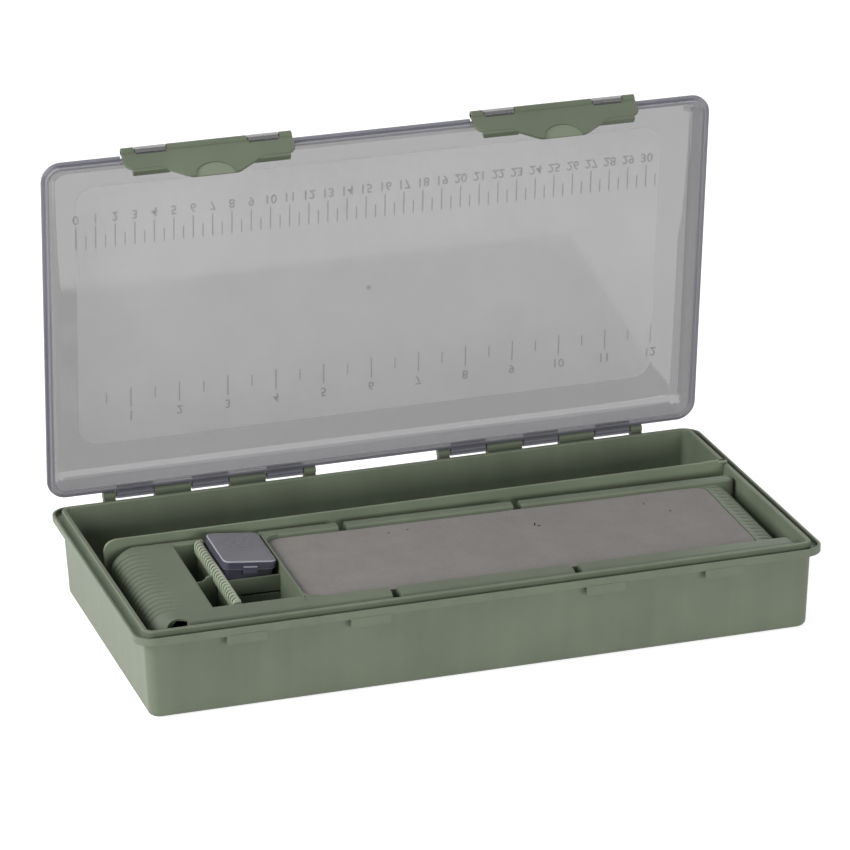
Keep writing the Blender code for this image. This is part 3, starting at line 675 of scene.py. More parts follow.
def moulded(name, color, roughness=0.48, stripes=0.0, mottle=0.10, grain=0.25, alpha=1.0, specular=0.5,
            bend=1.5):
    """Injection-moulded plastic: broad tone changes, a fine grain and, on walls, faint sink stripes."""
    made, tree, shader = new_material(name)
    place = wire(tree, "ShaderNodeTexCoord").outputs["Object"]
    broad = cloud(tree, 22.0, 3.0, Vector=place, Roughness=0.55)
    fine = cloud(tree, 2600.0, 2.0, Vector=place)
    level = spread(tree, broad, mottle)
    if stripes:
        parts = wire(tree, "ShaderNodeSeparateXYZ", Vector=place).outputs
        along = sum_up(tree, "ADD", parts["X"], parts["Y"])
        bands = cloud(tree, 95.0, 2.0, {"noise_dimensions": "1D"}, W=along)
        level = sum_up(tree, "MULTIPLY", level, spread(tree, bands, stripes))
    tint = wire(tree, "ShaderNodeVectorMath", {"operation": "SCALE"}, Vector=color, Scale=level)
    rough = wire(tree, "ShaderNodeMapRange", Value=broad, To_Min=roughness - 0.06, To_Max=roughness + 0.06)
    bump = wire(tree, "ShaderNodeBump", Height=fine, Strength=grain, Distance=0.00006)
    dress(tree, shader, Base_Color=tint.outputs["Vector"], Roughness=rough.outputs["Result"],
          Normal=bump.outputs["Normal"], Specular_IOR_Level=specular, IOR=bend, Alpha=alpha)
    return made


def smoky(name, color, roughness, alpha, specular=0.8, mottle=0.03, grain=0.05, bend=1.5):
    """Clear smoky plastic, with hardly any grain."""
    return moulded(name, color, roughness, 0.0, mottle, grain, alpha, specular, bend)


green_base = moulded("base_green", (0.152, 0.180, 0.128), stripes=0.035)
green_tray = moulded("tray_green", (0.138, 0.165, 0.116))
# The comb's light green is a painted highlight on its teeth
comb_painted_highlight = moulded("comb_green", (0.430, 0.490, 0.370), roughness=0.36)
green_latch = moulded("latch_green", (0.122, 0.150, 0.100), roughness=0.42)
green_divider = moulded("divider_green", (0.200, 0.240, 0.166))
green_pin = moulded("pin_green", (0.130, 0.156, 0.112))
# A lighter green for the latch's finger dish: a painted highlight
dish_painted_highlight = moulded("latch_dish", (0.185, 0.220, 0.155), roughness=0.36)
foam_cut = moulded("foam_cut", (0.045, 0.042, 0.040), roughness=0.9, mottle=0.3, grain=0.5, specular=0.1)
frost = moulded("lid_frost", (0.92, 0.91, 0.92), roughness=0.5, mottle=0.04, grain=0.3, alpha=0.33)
clear_lid = smoky("lid_smoke", (0.125, 0.121, 0.131), 0.07, 0.54, specular=1.0, bend=1.72)
# The next two are darker copies of the lid's smoke: painted shade on the rim and the knuckles
lid_edge_painted_shade = smoky("lid_edge_painted_shade", (0.150, 0.150, 0.190), 0.20, 0.79)
lid_rim_painted_shade = smoky("lid_rim_painted_shade", (0.210, 0.210, 0.240), 0.14, 0.72)
mark = smoky("lid_marks", (0.10, 0.10, 0.12), 0.3, 0.22, specular=0.5)
smoke_box = smoky("bit_box_smoke", (0.070, 0.068, 0.095), 0.15, 0.78, mottle=0.05, grain=0.1)
# The next two are painted shade on the bit box cover's sides and a painted highlight on its rounded edges
smoke_side_painted_shade = smoky("bit_side_painted_shade", (0.085, 0.082, 0.120), 0.12, 0.80, 0.9, mottle=0.05, grain=0.1)
smoke_edge_painted_highlight = smoky("bit_edge_painted_highlight", (0.420, 0.420, 0.480), 0.25, 0.80, mottle=0.08, grain=0.1)
smoke_cap = smoky("bit_lid_smoke", (0.225, 0.223, 0.250), 0.28, 0.70, mottle=0.12, grain=0.3)


def foam_look():
    """Closed-cell foam: a cut skin of small cells with smudges and a worn, dusty tone."""
    made, tree, shader = new_material("foam_grey")
    place = wire(tree, "ShaderNodeTexCoord").outputs["Object"]
    cells = wire(tree, "ShaderNodeTexVoronoi", Vector=place, Scale=1500.0)
    smudge = cloud(tree, 38.0, 6.0, Vector=place, Roughness=0.65)
    speck = cloud(tree, 520.0, 2.0, Vector=place)
    ramp = wire(tree, "ShaderNodeValToRGB", Fac=sum_up(tree, "MULTIPLY_ADD", speck, 0.35, smudge))
    stops = ramp.color_ramp.elements
    for stop, position, color in ((stops[0], 0.42, (0.238, 0.226, 0.214, 1)),
                                  (stops[1], 0.95, (0.290, 0.275, 0.262, 1))):
        stop.position = position
        stop.color = color
    bump = wire(tree, "ShaderNodeBump", Height=cells.outputs["Distance"], Strength=0.5, Distance=0.0002)
    dress(tree, shader, Base_Color=ramp.outputs["Color"], Normal=bump.outputs["Normal"], Roughness=0.92,
          Specular_IOR_Level=0.2)
    return made


grey_foam = foam_look()


# Base
def base_shapes():
    lean = wall_draft / wall_height
    inner_top = wall_inset + wall_thickness + lean * room_draft_start
    inner_low = inner_top + lean * (wall_height - floor_thickness)
    tub_corner = base_corner - wall_inset
    room_corner = tub_corner - wall_thickness
    profile = fillet([
        ((wall_inset + wall_draft + floor_ring, 0, floor_ring_corner), 0),
        ((wall_inset + wall_draft, 0, tub_corner), floor_round),
        ((wall_inset + lean * (wall_height - lip_bottom), lip_bottom, tub_corner), edge_fine),
        ((0, lip_bottom, base_corner), edge_small),
        ((0, lip_top, base_corner), edge_soft),
        ((lip_thickness, lip_top, base_corner - lip_thickness), edge_rim),
        ((lip_thickness, channel_floor, base_corner - lip_thickness), edge_fine),
        ((wall_inset + lean * (wall_height - channel_floor), channel_floor, tub_corner), edge_fine),
        ((wall_inset, wall_height, tub_corner), edge_broad),
        ((inner_top, wall_height, room_corner), edge_broad),
        ((inner_low, floor_thickness, room_corner), floor_round),
        ((inner_low + floor_ring, floor_thickness, ring_corner), 0)], closed=False)
    shapes = [sweep(half_base, profile)]
    low_joint = lip_bottom + overlap
    for centre in (-latch_centre, latch_centre):
        for side in (-1, 1):
            middle = centre + side * (hook_inner + hook_outer) / 2
            shapes.append(slab((middle - keeper_length / 2, -half_width, keeper_bottom),
                               (middle + keeper_length / 2, -half_width + keeper_thickness, low_joint)))
    for low, high in knuckle_spans("base"):
        low_side = low + bracket_side
        high_side = high - bracket_side
        shapes += [rod(knuckle_radius, low, high, hinge_z, hinge_y),
                   slab((low_side, half_width - bracket_depth, low_joint),
                        (high_side, hinge_y + bracket_back, lip_top)),
                   slab((low_side, hinge_y - knuckle_radius + bracket_depth / 2, lip_top - sunk),
                        (high_side, hinge_y + bracket_back, hinge_z - bracket_depth))]
    return shapes


# Lid, drawn closed
def lid_shapes():
    top_draft = lid_crown_draft * (lid_top - rim_bottom) / lid_depth
    crown_low = lid_crown_inset + top_draft * flange_thickness / (lid_top - rim_bottom)
    crown_corner = base_corner - lid_crown_inset
    cavity = lid_crown_inset + lid_wall
    cavity_corner = crown_corner - lid_wall
    mouth = tongue_inset + tongue_thickness
    tongue_low = rim_bottom - tongue_depth
    profile = fillet([
        ((lid_ring, lid_top, lid_ring_corners[0]), 0),
        ((lid_crown_inset + top_draft, lid_top, crown_corner), lid_crown_round),
        ((crown_low, hinge_z, crown_corner), edge_small),
        ((0, hinge_z, base_corner), edge_soft),
        ((0, rim_bottom, base_corner), edge_rim),
        ((tongue_inset, rim_bottom, base_corner - tongue_inset), edge_tiny),
        ((tongue_inset, tongue_low, base_corner - tongue_inset), edge_small),
        ((mouth, tongue_low, base_corner - mouth), edge_small),
        ((mouth, rim_bottom, base_corner - mouth), edge_tiny),
        ((cavity, rim_bottom, cavity_corner), edge_fine),
        ((cavity + lid_crown_draft, lid_ceiling, cavity_corner), lid_inner_round),
        ((lid_ring, lid_ceiling, lid_ring_corners[1]), 0)], closed=False)
    # Extra points along the front, where the relief behind each latch starts and ends
    front = sorted(middle + reach + step for middle in (-latch_centre, latch_centre)
                   for reach in (-latch_relief_reach, latch_relief_reach)
                   for step in (-relief_step, relief_step))

    def relief(point):
        """Draw the flange back and leave the tongue out behind the latches."""
        beside = abs(abs(point.x) - latch_centre) > latch_relief_reach
        if beside or point.y > -half_width + latch_relief_depth:
            return point
        return (point.x, max(point.y, -half_width + latch_relief_inset), max(point.z, rim_bottom))

    shapes = [sweep(half_base, profile, front, relief)]
    low_joint = rim_bottom + bracket_side
    high_joint = hinge_z - bracket_side
    for low, high in knuckle_spans("lid"):
        middle = (low + high) / 2
        shapes += [rod(knuckle_radius, low, high, hinge_z, hinge_y),
                   slab((low + bracket_side, half_width - lid_crown_inset - bracket_side, low_joint),
                        (high - bracket_side, hinge_y - bracket_depth, high_joint)),
                   slab((middle - web_half, hinge_y - web_front, rim_bottom + joint),
                        (middle + web_half, hinge_y - web_back, hinge_z + overlap), edge_tiny)]
    for middle in (-latch_centre, latch_centre):
        for low, high in both_sides(latch_window_inner + latch_eye_gap, latch_window_outer - latch_eye_gap):
            shapes += [rod(latch_barrel_radius, middle + low, middle + high, latch_z, latch_y),
                       slab((middle + low + bracket_side, latch_y + bracket_depth, low_joint),
                            (middle + high - bracket_side, -half_width + lid_crown_inset + bracket_side,
                             high_joint))]
    return shapes


def tone_rim(made):
    """Painted shade: the rim and its knuckles, seen edge on, get darker and denser smoke than the flat panel
    and the eyes.
    """
    middles = [(low + high) / 2 for low, high in knuckle_spans("lid")]
    for face, place, normal in faces_for(made, lid_frame, lid_edge_painted_shade, lid_rim_painted_shade):
        inset_x = half_length - abs(place.x)
        inset_y = half_width - abs(place.y)
        inward = -normal.y * copysign(1, place.y)
        if inset_x < inset_y:
            inward = -normal.x * copysign(1, place.x)
        if (hinge_y - web_front - 2 * touch < place.y < hinge_y - web_back + 2 * touch
                and place.z < hinge_z + overlap + touch
                and any(abs(place.x - middle) < web_half + touch for middle in middles)):
            face.material_index = 2
        elif place.y < -half_width - 2 * touch:
            face.material_index = 0
        elif min(inset_x, inset_y) < rim_inner:
            face.material_index = 1
        elif min(inset_x, inset_y) < rim_width and inward < rim_inward:
            face.material_index = 2


def ruler_line(place, low_y, high_y):
    """A low raised line on the inner face of the lid's panel."""
    return slab((place - mark_half, low_y, lid_ceiling - mark_height),
                (place + mark_half, high_y, lid_ceiling + mark_root), mark_root, 1)


def digits(number, place_x, place_y):
    """Raised digits on the inner face of the panel, to be read from outside when the lid is shut."""
    curve = bpy.data.curves.new("digits", "FONT")
    curve.body = str(number)
    curve.size = digit_size
    curve.align_x = "CENTER"
    curve.align_y = "CENTER"
    curve.extrude = (mark_height + mark_root) / 2
    curve.resolution_u = 3
    curve.offset = digit_swell
    made = shown("digits", curve)
    mesh = bpy.data.meshes.new_from_object(made.evaluated_get(bpy.context.evaluated_depsgraph_get()))
    bpy.data.objects.remove(made)
    bpy.data.curves.remove(curve)
    work = bmesh.new()
    work.from_mesh(mesh)
    bpy.data.meshes.remove(mesh)
    middle = lid_ceiling - (mark_height - mark_root) / 2
    return moved(welded(work), Matrix.Translation((place_x, place_y, middle)))


def ruler_shapes():
    """A centimetre ruler near the latches and an inch ruler near the hinge."""
    shapes = []
    for half_step in range(ruler_numbers * 2):
        low = ruler_short if half_step % 2 else ruler_long
        shapes.append(ruler_line(ruler_zero + half_step * ruler_step / 2, low, ruler_foot))
    for number in range(ruler_numbers):
        shapes.append(digits(number, ruler_zero + number * ruler_step, ruler_digits))
    for half_step in range(1, inch_numbers * 2 + 1):
        low, high = inch_short if half_step % 2 else inch_long
        shapes.append(ruler_line(inch_zero + half_step * inch_step / 2, low, high))
    for number in range(1, inch_numbers + 1):
        shapes.append(digits(number, inch_zero + number * inch_step, inch_digits))
    return shapes


def frost_shapes():
    """The matt panel field, as thin as a texture on the mould."""
    outline = field(*frost_span_x, *frost_span_y, frost_corner, 12)
    return [prism(outline, lid_ceiling - frost_height, lid_ceiling + frost_root, "Z", frost_edge, 1)]


def gate_shapes():
    """The small stub that the mould's gate left on the panel."""
    return [cone(*gate_radii, gate_depth, Matrix.Translation((*gate_place, lid_ceiling - touch)), 24)]


# Latches, drawn about their pins
def latch_outline():
    right = [((latch_half_length, latch_barrel_radius), latch_top_round),
             ((latch_half_length, -latch_ear_length), latch_ear_round),
             ((latch_shoulder_half, -latch_ear_length), latch_shoulder_round),
             ((latch_tongue_half, -latch_length), latch_tongue_round)]
    left = [((-place[0], place[1]), radius) for place, radius in reversed(right)]
    windows = []
    for low, high in both_sides(latch_window_inner, latch_window_outer):
        windows += [((low, latch_barrel_radius), edge_round), ((low, -latch_window_drop), 0),
                    ((high, -latch_window_drop), 0), ((high, latch_barrel_radius), edge_round)]
    return fillet(right + left + windows, steps=6)


def latch_shapes():
    plate = prism(latch_outline(), latch_plate_inner - latch_plate, latch_plate_inner, "Y", edge_broad, 3)
    for level in range(1, latch_bend_count + 1):
        split(plate, (0, 0, latch_barrel_radius - level * latch_bend_step), (0, 0, 1))
    for vert in plate.verts:
        row = (latch_barrel_radius - vert.co.z) / latch_flare_length
        vert.co.y -= latch_flare * row ** 3
    rim = [(latch_dish_half * cosine, latch_dish_low + latch_dish_height * sine)
           for cosine, sine in arc(range(0, 360, 3))]
    shapes = [boolean(plate, prism(rim, -latch_dish_reach, latch_dish_floor, "Y", 0)),
              rod(latch_barrel_radius, -latch_window_inner, latch_window_inner, 0, 0)]
    top = keeper_bottom - latch_z - rest_gap
    for barrel, (low, high) in zip(both_sides(latch_window_outer, latch_half_length),
                                   both_sides(hook_inner, hook_outer)):
        shapes += [rod(latch_barrel_radius, *barrel, 0, 0),
                   slab((low, -latch_plate / 2, top - hook_height), (high, hook_reach, top), edge_small)]
    return shapes


def tone_dish(made, matrix):
    """Painted highlight: the finger dish's floor gets a lighter green than the plate."""
    for face, place, normal in faces_for(made, matrix, dish_painted_highlight):
        near = (place.x / latch_dish_half) ** 2 + ((place.z - latch_dish_low) / latch_dish_height) ** 2
        if near < 0.99 and normal.y < -0.9 and abs(place.y - latch_dish_floor) < touch:
            face.material_index = 1


# Divider
def divider_shapes():
    lean = wall_draft * (wall_height - tray_bottom) / wall_height
    right_top = inner_half_length - side_gap
    tab_bottom = wall_height + rest_gap
    tab_end = inner_half_length + divider_tab_reach
    tab_top = divider_top + divider_tab_rise
    outline = fillet([((-divider_left + lean, tray_bottom), divider_foot_round),
                      ((right_top - lean, tray_bottom), floor_round),
                      ((right_top, wall_height - divider_tab_rise), edge_fine), ((right_top, tab_bottom), 0),
                      ((tab_end, tab_bottom), edge_small), ((tab_end, tab_top), edge_round),
                      ((right_top - divider_corner, tab_top), divider_tab_round),
                      ((right_top - divider_corner * 2, divider_top), divider_tab_round),
                      ((-divider_left, divider_top), divider_corner)], steps=8)
    back = divider_front + divider_thickness
    return [prism(outline, divider_front, back, "Y", edge_rim, 3),
            slab((right_top - bead_length, divider_front - bead_front, tab_bottom),
                 (tab_end, back + bead_back, tab_top), edge_broad, 4)]


# Rig tray, drawn square
def end_section(depth, top, roll_x, roll_z):
    """The outline of a rolled end of the tray, from its inner foot over its top to its outer foot."""
    flat = depth - edge_rim - roll_x
    count = max(2, int(flat / end_flat_step))
    side_low = tray_bottom + tray_foot_round
    side_high = top - roll_z
    loop = [(depth, tray_bottom), (depth, top - edge_rim)]
    loop += [(depth - edge_rim * (1 - cosine), top - edge_rim * (1 - sine))
             for cosine, sine in arc((30, 60, 90))]
    loop += [(depth - edge_rim - flat * step / count, top) for step in range(1, count)]
    loop += [(roll_x * (1 - sine), top - roll_z * (1 - cosine)) for cosine, sine in arc(range(0, 91, 5))]
    loop += [(0, side_high + (side_low - side_high) * share) for share in (0.2, 0.4, 0.6, 0.8)]
    return loop + [(tray_foot_round * (1 - cosine), side_low - tray_foot_round * sine)
                   for cosine, sine in arc((0, 30, 60, 90))]


def groove_at(place):
    """How deep the scallops cut at a place along Y. The first and the last fade on their outer side."""
    step = round((place - groove_first) / groove_pitch)
    if not 0 <= step < groove_count:
        return 0
    off = place - groove_first - step * groove_pitch
    near = 1 - 2 * abs(off) / groove_pitch
    groove = groove_depth * (1 - sqrt(1 - groove_bend * near * near))
    if step in (0, groove_count - 1) and off * (step - 1) > 0:
        groove *= max(0, near)
    return groove


def tray_end(side, edge_x, inner_x, roll, fade, span, top, corner=0.0, rounds=(0.0, 0.0)):
    """A rolled end of the tray with a row of scallops for wound line, between two places along Y."""
    depth = abs(inner_x - edge_x)
    low_y, high_y = span
    centre_y = (low_y + high_y) / 2
    loop = end_section(depth, top, *roll)
    normals = []
    weights = []
    for index, (across, up) in enumerate(loop):
        before, after = loop[index - 1], loop[(index + 1) % len(loop)]
        along = Vector((after[0] - before[0], after[1] - before[1])).normalized()
        normals.append(Vector((-along.y, along.x)))
        high_share = clamp((fade[0] - across) / (fade[0] - fade[1]))
        low_share = clamp((up - top + groove_drop) / groove_fade)
        weights.append(high_share * high_share * (3 - 2 * high_share) * low_share)
    ends = [(corner * (1 - cosine), corner * (1 - sine))
            for cosine, sine in arc(range(0, 91, 10) if corner else (90,))]
    length = high_y - low_y - 2 * corner
    count = int(length / end_step)
    rows = [(low_y + away, inset, away, 0) for away, inset in ends]
    rows += [(low_y + corner + length * step / count, 0, 1, 0) for step in range(1, count)]
    rows += [(high_y - away, inset, away, 1) for away, inset in reversed(ends)]
    work = bmesh.new()
    made = []
    for place, inset, away, end in rows:
        drop = 0
        if away < rounds[end]:
            drop = rounds[end] - sqrt(rounds[end] ** 2 - (rounds[end] - away) ** 2)
        groove = groove_at(place)
        verts = []
        for (across, up), normal, weight in zip(loop, normals, weights):
            lean = tray_draft * (1 - (up - tray_bottom) / (top - tray_bottom))
            across = inset + across * (depth - inset) / depth + lean * (1 - across / depth)
            up = min(up, top - drop)
            across += normal.x * groove * weight
            up += normal.y * groove * weight
            shift = 0
            if corner:
                shift = lean * copysign(min(1, abs(place - centre_y) / end_lean_reach), centre_y - place)
            verts.append(work.verts.new((edge_x - side * across, place + shift, up)))
        made.append(verts)
    return welded(skin(work, made))


def notch_tool():
    """A bite out of the land's front edge that opens into the hollow below the land."""
    low = notch_place - notch_radius + joint
    high = notch_place + notch_radius + notch_lead
    foot = tray_bottom - sunk
    bite = cone(notch_radius, notch_radius, (tray_top - tray_bottom) * 2.1,
                Matrix.Translation((notch_place, notch_back - notch_radius, tray_top)), 64)
    inside = [(low, foot), (low, tray_top - notch_side), (low + notch_slope, notch_top), (high, notch_top),
              (high, foot)]
    return boolean(bite, prism(inside, tray_front + rail_wall, tray_front + notch_depth, "Y", 0), "UNION")


def rail_outline(outer, inner, top, inner_low, head=rail_round):
    """The section of a rail and its outer wall, leaning out towards the top."""
    side = copysign(1, inner - outer)
    foot = outer + side * tray_draft
    if abs(inner - outer) <= rail_thin:
        return fillet([((foot, tray_bottom), edge_rim), ((outer, top), edge_fine), ((inner, top), edge_fine),
                       ((foot + side * sunk, tray_bottom), 0)], steps=3)
    wall = foot + side * rail_wall
    return fillet([((foot, tray_bottom), tray_foot_round), ((outer, top), head),
                   ((inner, top), rail_inner_round), ((inner, inner_low), 0),
                   ((wall, inner_low - rail_web), 0), ((wall + side * sunk, tray_bottom), 0)], steps=5)


def rail_nose(outline, start, end, reach, drop):
    """The rounded right end of a rail: its section drawn in towards its middle."""
    widest = max(point.x for point in outline)
    middle = (min(point.x for point in outline) + widest) / 2
    tightest = min(nose_limit, reach / (widest - middle))
    top = max(point.y for point in outline)
    stations = [(start, 0)] + [(end - reach + reach * sine, 1 - cosine)
                               for cosine, sine in arc(7.5 * step for step in range(13))]
    work = bmesh.new()
    rows = []
    for place, inward in stations:
        row = []
        for across, up, _ in outline:
            high_share = clamp((up - tray_bottom) / (top - tray_bottom))
            foot = tray_draft * (1 - high_share) if place > end - reach else 0
            row.append(work.verts.new((place - foot * inward,
                                       middle + (across - middle) * (1 - inward * tightest),
                                       up - drop * inward * high_share ** 4)))
        rows.append(row)
    return skin(work, rows)


def rail_shapes(outer, inner, start, end, slots, inner_low, top=tray_top, head=rail_round, nose=0.0):
    """A rail from start to end, open at its slots above a continuous lower part."""
    side = copysign(1, inner - outer)
    edges = [start]
    for place in slots:
        edges += [place - rail_slot_width / 2, place + rail_slot_width / 2]
    edges.append(end)
    outline = rail_outline(outer, inner, top, inner_low, head)
    shapes = []
    for low, high in zip(edges[::2], edges[1::2]):
        neck = low + nose_neck if nose and high == end else high
        shapes.append(prism(outline, low, neck, "X", ends=(low > start, high < end)))
        if neck < high:
            shapes.append(rail_nose(outline, neck, high, nose, head))
    low_top = top - rail_slot_depth
    low_outline = rail_outline(outer + side * touch, inner - side * touch, low_top,
                               min(inner_low, low_top - rail_low_depth))
    for place in slots:
        shapes.append(prism(low_outline, place - rail_slot_width, place + rail_slot_width, "X", 0))
    return shapes


def corner_filler(corner_x, corner_y, turn, top):
    """What is left of the deck in one rounded corner of the foam's recess."""
    bend = [(foam_corner * (cosine - 1), foam_corner * (sine - 1)) for cosine, sine in arc(range(0, 91, 9))]
    points = [(edge_soft, edge_soft), (edge_soft, -foam_corner)] + bend + [(-foam_corner, edge_soft)]
    work = prism(points, recess_floor - sunk, top - filler_drop, "Z", 0)
    return moved(work, turned((corner_x, corner_y, 0), turn, "Z"))


def slot_divider():
    """The stepped wall across the narrow cell."""
    end = comb_middle - comb_plate / 2 - rest_gap
    start = slot_left - joint
    step = end - slot_divider_step
    foot = tray_bottom + sunk
    low_top = slot_divider_high - comb_tooth_height / 2
    outline = fillet([((start, foot), 0), ((end, foot), 0), ((end, low_top), 0),
                      ((comb_left - rest_gap, low_top), 0),
                      ((comb_left - rest_gap, slot_divider_high), edge_soft),
                      ((step + slot_divider_ramp, slot_divider_high), slot_divider_round),
                      ((step, slot_divider_low), slot_divider_round), ((start, slot_divider_low), 0)])
    return prism(outline, slot_divider_back - divider_thickness, slot_divider_back, "Y")


def tray_shapes():
    low_x, high_x = foam_left - foam_gap, foam_right + foam_gap
    low_y, high_y = foam_front - foam_gap, foam_back + foam_gap
    left = tray_end(-1, tray_left, slot_left, land_roll, land_fade, (tray_front, tray_back), tray_top,
                    tray_corner, (front_rail_round, rail_round))
    shapes = [boolean(left, notch_tool()),
              tray_end(1, strip_right, high_x, strip_roll, strip_fade,
                       (low_y - edge_soft, high_y + edge_soft), strip_top)]
    recess_low = recess_floor - rail_wall
    wall_low = tray_bottom + rail_low_depth
    start = slot_left - joint
    stop = cell_right + joint_fine
    shapes += rail_shapes(tray_front, slot_front, start, stop, (), wall_low, head=front_rail_round)
    shapes += rail_shapes(tray_front, low_y, cell_right, tray_right, front_slot_places, recess_low,
                          head=front_rail_round, nose=front_nose)
    shapes += rail_shapes(tray_back, high_y, cell_right, tray_right, rear_slot_places, recess_low,
                          nose=rear_nose)
    shapes += rail_shapes(tray_back, slot_back, start, comb_right + rest_gap, (), wall_low)
    shapes += rail_shapes(tray_back, box_cell_back, comb_right, stop, (), wall_low, box_wall_top)
    outline = field(low_x, foam_right + recess_end, foam_front - recess_side, foam_back + recess_side)
    shapes.append(prism(outline, recess_low, recess_floor, "Z", 0))
    for index, (corner_x, corner_y) in enumerate(((high_x, high_y), (low_x, high_y), (low_x, low_y),
                                                  (high_x, low_y))):
        shapes.append(corner_filler(corner_x, corner_y, 90 * index, strip_top if corner_x > 0 else tray_top))
    left_x = comb_right + rest_gap
    right_x = cell_right + joint
    front_y = box_cell_front - shelf_thickness
    shelf_middle = shelf_top - shelf_thickness / 2
    for low, high, edge in (
            ((cell_right, slot_front - sunk, tray_bottom + sunk), (low_x, foam_back + recess_wall, tray_top),
             edge_small),
            ((slot_left - sunk, slot_front - sunk, tray_bottom),
             (cell_right + sunk, slot_back + sunk, tray_floor_top), edge_tiny),
            ((left_x, front_y, shelf_top - shelf_thickness),
             (right_x, box_cell_back + joint_fine, shelf_top), edge_fine),
            ((left_x, front_y, shelf_middle), (right_x, box_cell_front, shelf_lip_top), edge_small),
            ((left_x, front_y, tray_floor_top - joint_fine),
             (right_x, box_cell_front, shelf_bar_top), edge_fine),
            ((left_x, box_cell_front - shelf_thickness * 0.8, shelf_bar_top - joint),
             (left_x + shelf_post_width, box_cell_front, shelf_top - 2 * joint_fine), edge_fine),
            ((left_x, box_cell_front - shelf_thickness / 2, shelf_middle),
             (left_x + shelf_rest_width, slot_back, shelf_top + shelf_rest_height), edge_fine)):
        shapes.append(slab(low, high, edge))
    return shapes + [slot_divider()]


# Thread comb: two rows of leaning teeth, like a twisted cord
def comb_shapes():
    head_low = comb_root - comb_head_height
    shapes = [slab((comb_middle - comb_plate / 2, comb_front - comb_tail, comb_bottom),
                   (comb_middle + comb_plate / 2, comb_back, comb_root - sunk)),
              slab((comb_left + comb_bar_inset, comb_front, head_low + rest_gap),
                   (comb_right - comb_bar_inset, comb_back, comb_root), edge_round)]
    half = comb_head_width / 2 + comb_rib_shift
    rib_top = comb_root + comb_tooth_height - comb_rib_drop
    rib_middle = (rib_top + head_low) / 2
    for step in range(comb_count):
        rib = ball(24, 16)
        for vert in rib.verts:
            across, along, up = vert.co
            across = copysign(abs(across) ** comb_rib_square, across)
            up = copysign(abs(up) ** comb_rib_blunt, up)
            along = (along * comb_rib_half + comb_rib_turn * across + comb_rib_lean * up
                     - comb_rib_bow * across * across)
            vert.co = (comb_middle - comb_rib_shift + across * half,
                       comb_front + comb_tail + step * comb_pitch + along,
                       rib_middle + up * (rib_top - rib_middle))
        shapes.append(rib)
    return shapes


def tone_comb(made):
    """Painted highlight: the teeth get a much lighter green, and painted shade: the bars behind and below
    them keep the tray's darker green.
    """
    for face, _, _ in faces_for(made, tray_frame, green_tray):
        if face.area > comb_bar_face:
            face.material_index = 1


# Foam board
def foam_shapes():
    outline = field(foam_left, foam_right, foam_front, foam_back, foam_corner)
    work = prism(outline, foam_top - foam_thickness, foam_top, "Z", edge_soft, 3)
    for low, high, along in ((foam_left, foam_right, Vector((1, 0, 0))),
                             (foam_front, foam_back, Vector((0, 1, 0)))):
        for step in range(1, int((high - low) / foam_step)):
            split(work, along * (low + foam_step * step), along)
    for vert in work.verts:
        if vert.co.z > foam_top - foam_thickness / 2:
            dent = sum(noise.noise(vert.co * scale) * height for scale, height in foam_dents)
            vert.co.z += min(0, dent - touch)
    return [work]


def foam_nick_shapes():
    """Small nicks and hook marks in the foam's skin."""
    shapes = []
    for place_x, place_y, length, turn in foam_nicks:
        size = Matrix.Diagonal((length / 2, nick_half_width, nick_half_depth, 1))
        place = turned((place_x, place_y, foam_top - nick_drop), turn, "Z")
        shapes.append(moved(ball(12, 8), place @ size))
    return shapes


# Bit box, drawn level about its own foot
def bit_body_shapes():
    inner = bit_corner - bit_wall
    profile = fillet([((bit_ring, 0, ring_corner), 0), ((0, 0, bit_corner), edge_full),
                      ((0, bit_body_height, bit_corner), edge_fine),
                      ((bit_wall, bit_body_height, inner), edge_fine),
                      ((bit_wall, bit_wall, inner), edge_round), ((bit_ring, bit_wall, ring_corner), 0)],
                     closed=False)
    shapes = [sweep(bit_half, profile, steps=6)]
    start = bit_hinge_half + knuckle_gap
    for low, high in both_sides(start, start + bit_lug_length):
        shapes += [rod(bit_hinge_radius, low, high, bit_pin_z, bit_pin_y, touch, 24),
                   slab((low + bracket_side, bit_half[1] - bit_wall / 2, bit_lid_low - bit_hinge_radius * 2),
                        (high - bracket_side, bit_pin_y + bit_hinge_radius * 0.8, bit_lid_low - rest_gap),
                        edge_tiny)]
    top = bit_lid_low - bit_tab_height / 2 - rest_gap
    front = -bit_half[1]
    return shapes + [slab((-bit_tab_half, front - bit_catch, top - bit_catch),
                          (bit_tab_half, front + 2 * joint_fine, top), edge_tiny)]


def bit_lid_shapes():
    top = bit_lid_low + bit_lid_height
    under = bit_body_height + rest_gap
    outer = bit_corner + bit_lid_wall
    side = bit_lid_half[1]
    profile = fillet([((bit_ring, top, ring_corner), 0), ((0, top, outer), edge_full),
                      ((0, bit_lid_low, outer), edge_tiny),
                      ((bit_lid_wall, bit_lid_low, bit_corner), edge_tiny),
                      ((bit_lid_wall, under, bit_corner), edge_small), ((bit_ring, under, ring_corner), 0)],
                     closed=False)
    return [sweep(bit_lid_half, profile, steps=6),
            rod(bit_hinge_radius, -bit_hinge_half, bit_hinge_half, bit_pin_z, bit_pin_y, touch, 24),
            slab((-bit_hinge_half + bracket_side, side - bit_lid_wall / 2, bit_lid_low + bracket_side),
                 (bit_hinge_half - bracket_side, bit_pin_y, bit_pin_z + bit_hinge_radius / 2), edge_tiny),
            slab((-bit_tab_half, -side - bit_tab_thickness, bit_lid_low - bit_tab_height / 2),
                 (bit_tab_half, -side + bit_lid_wall / 2, bit_lid_low + bit_tab_height / 2))]


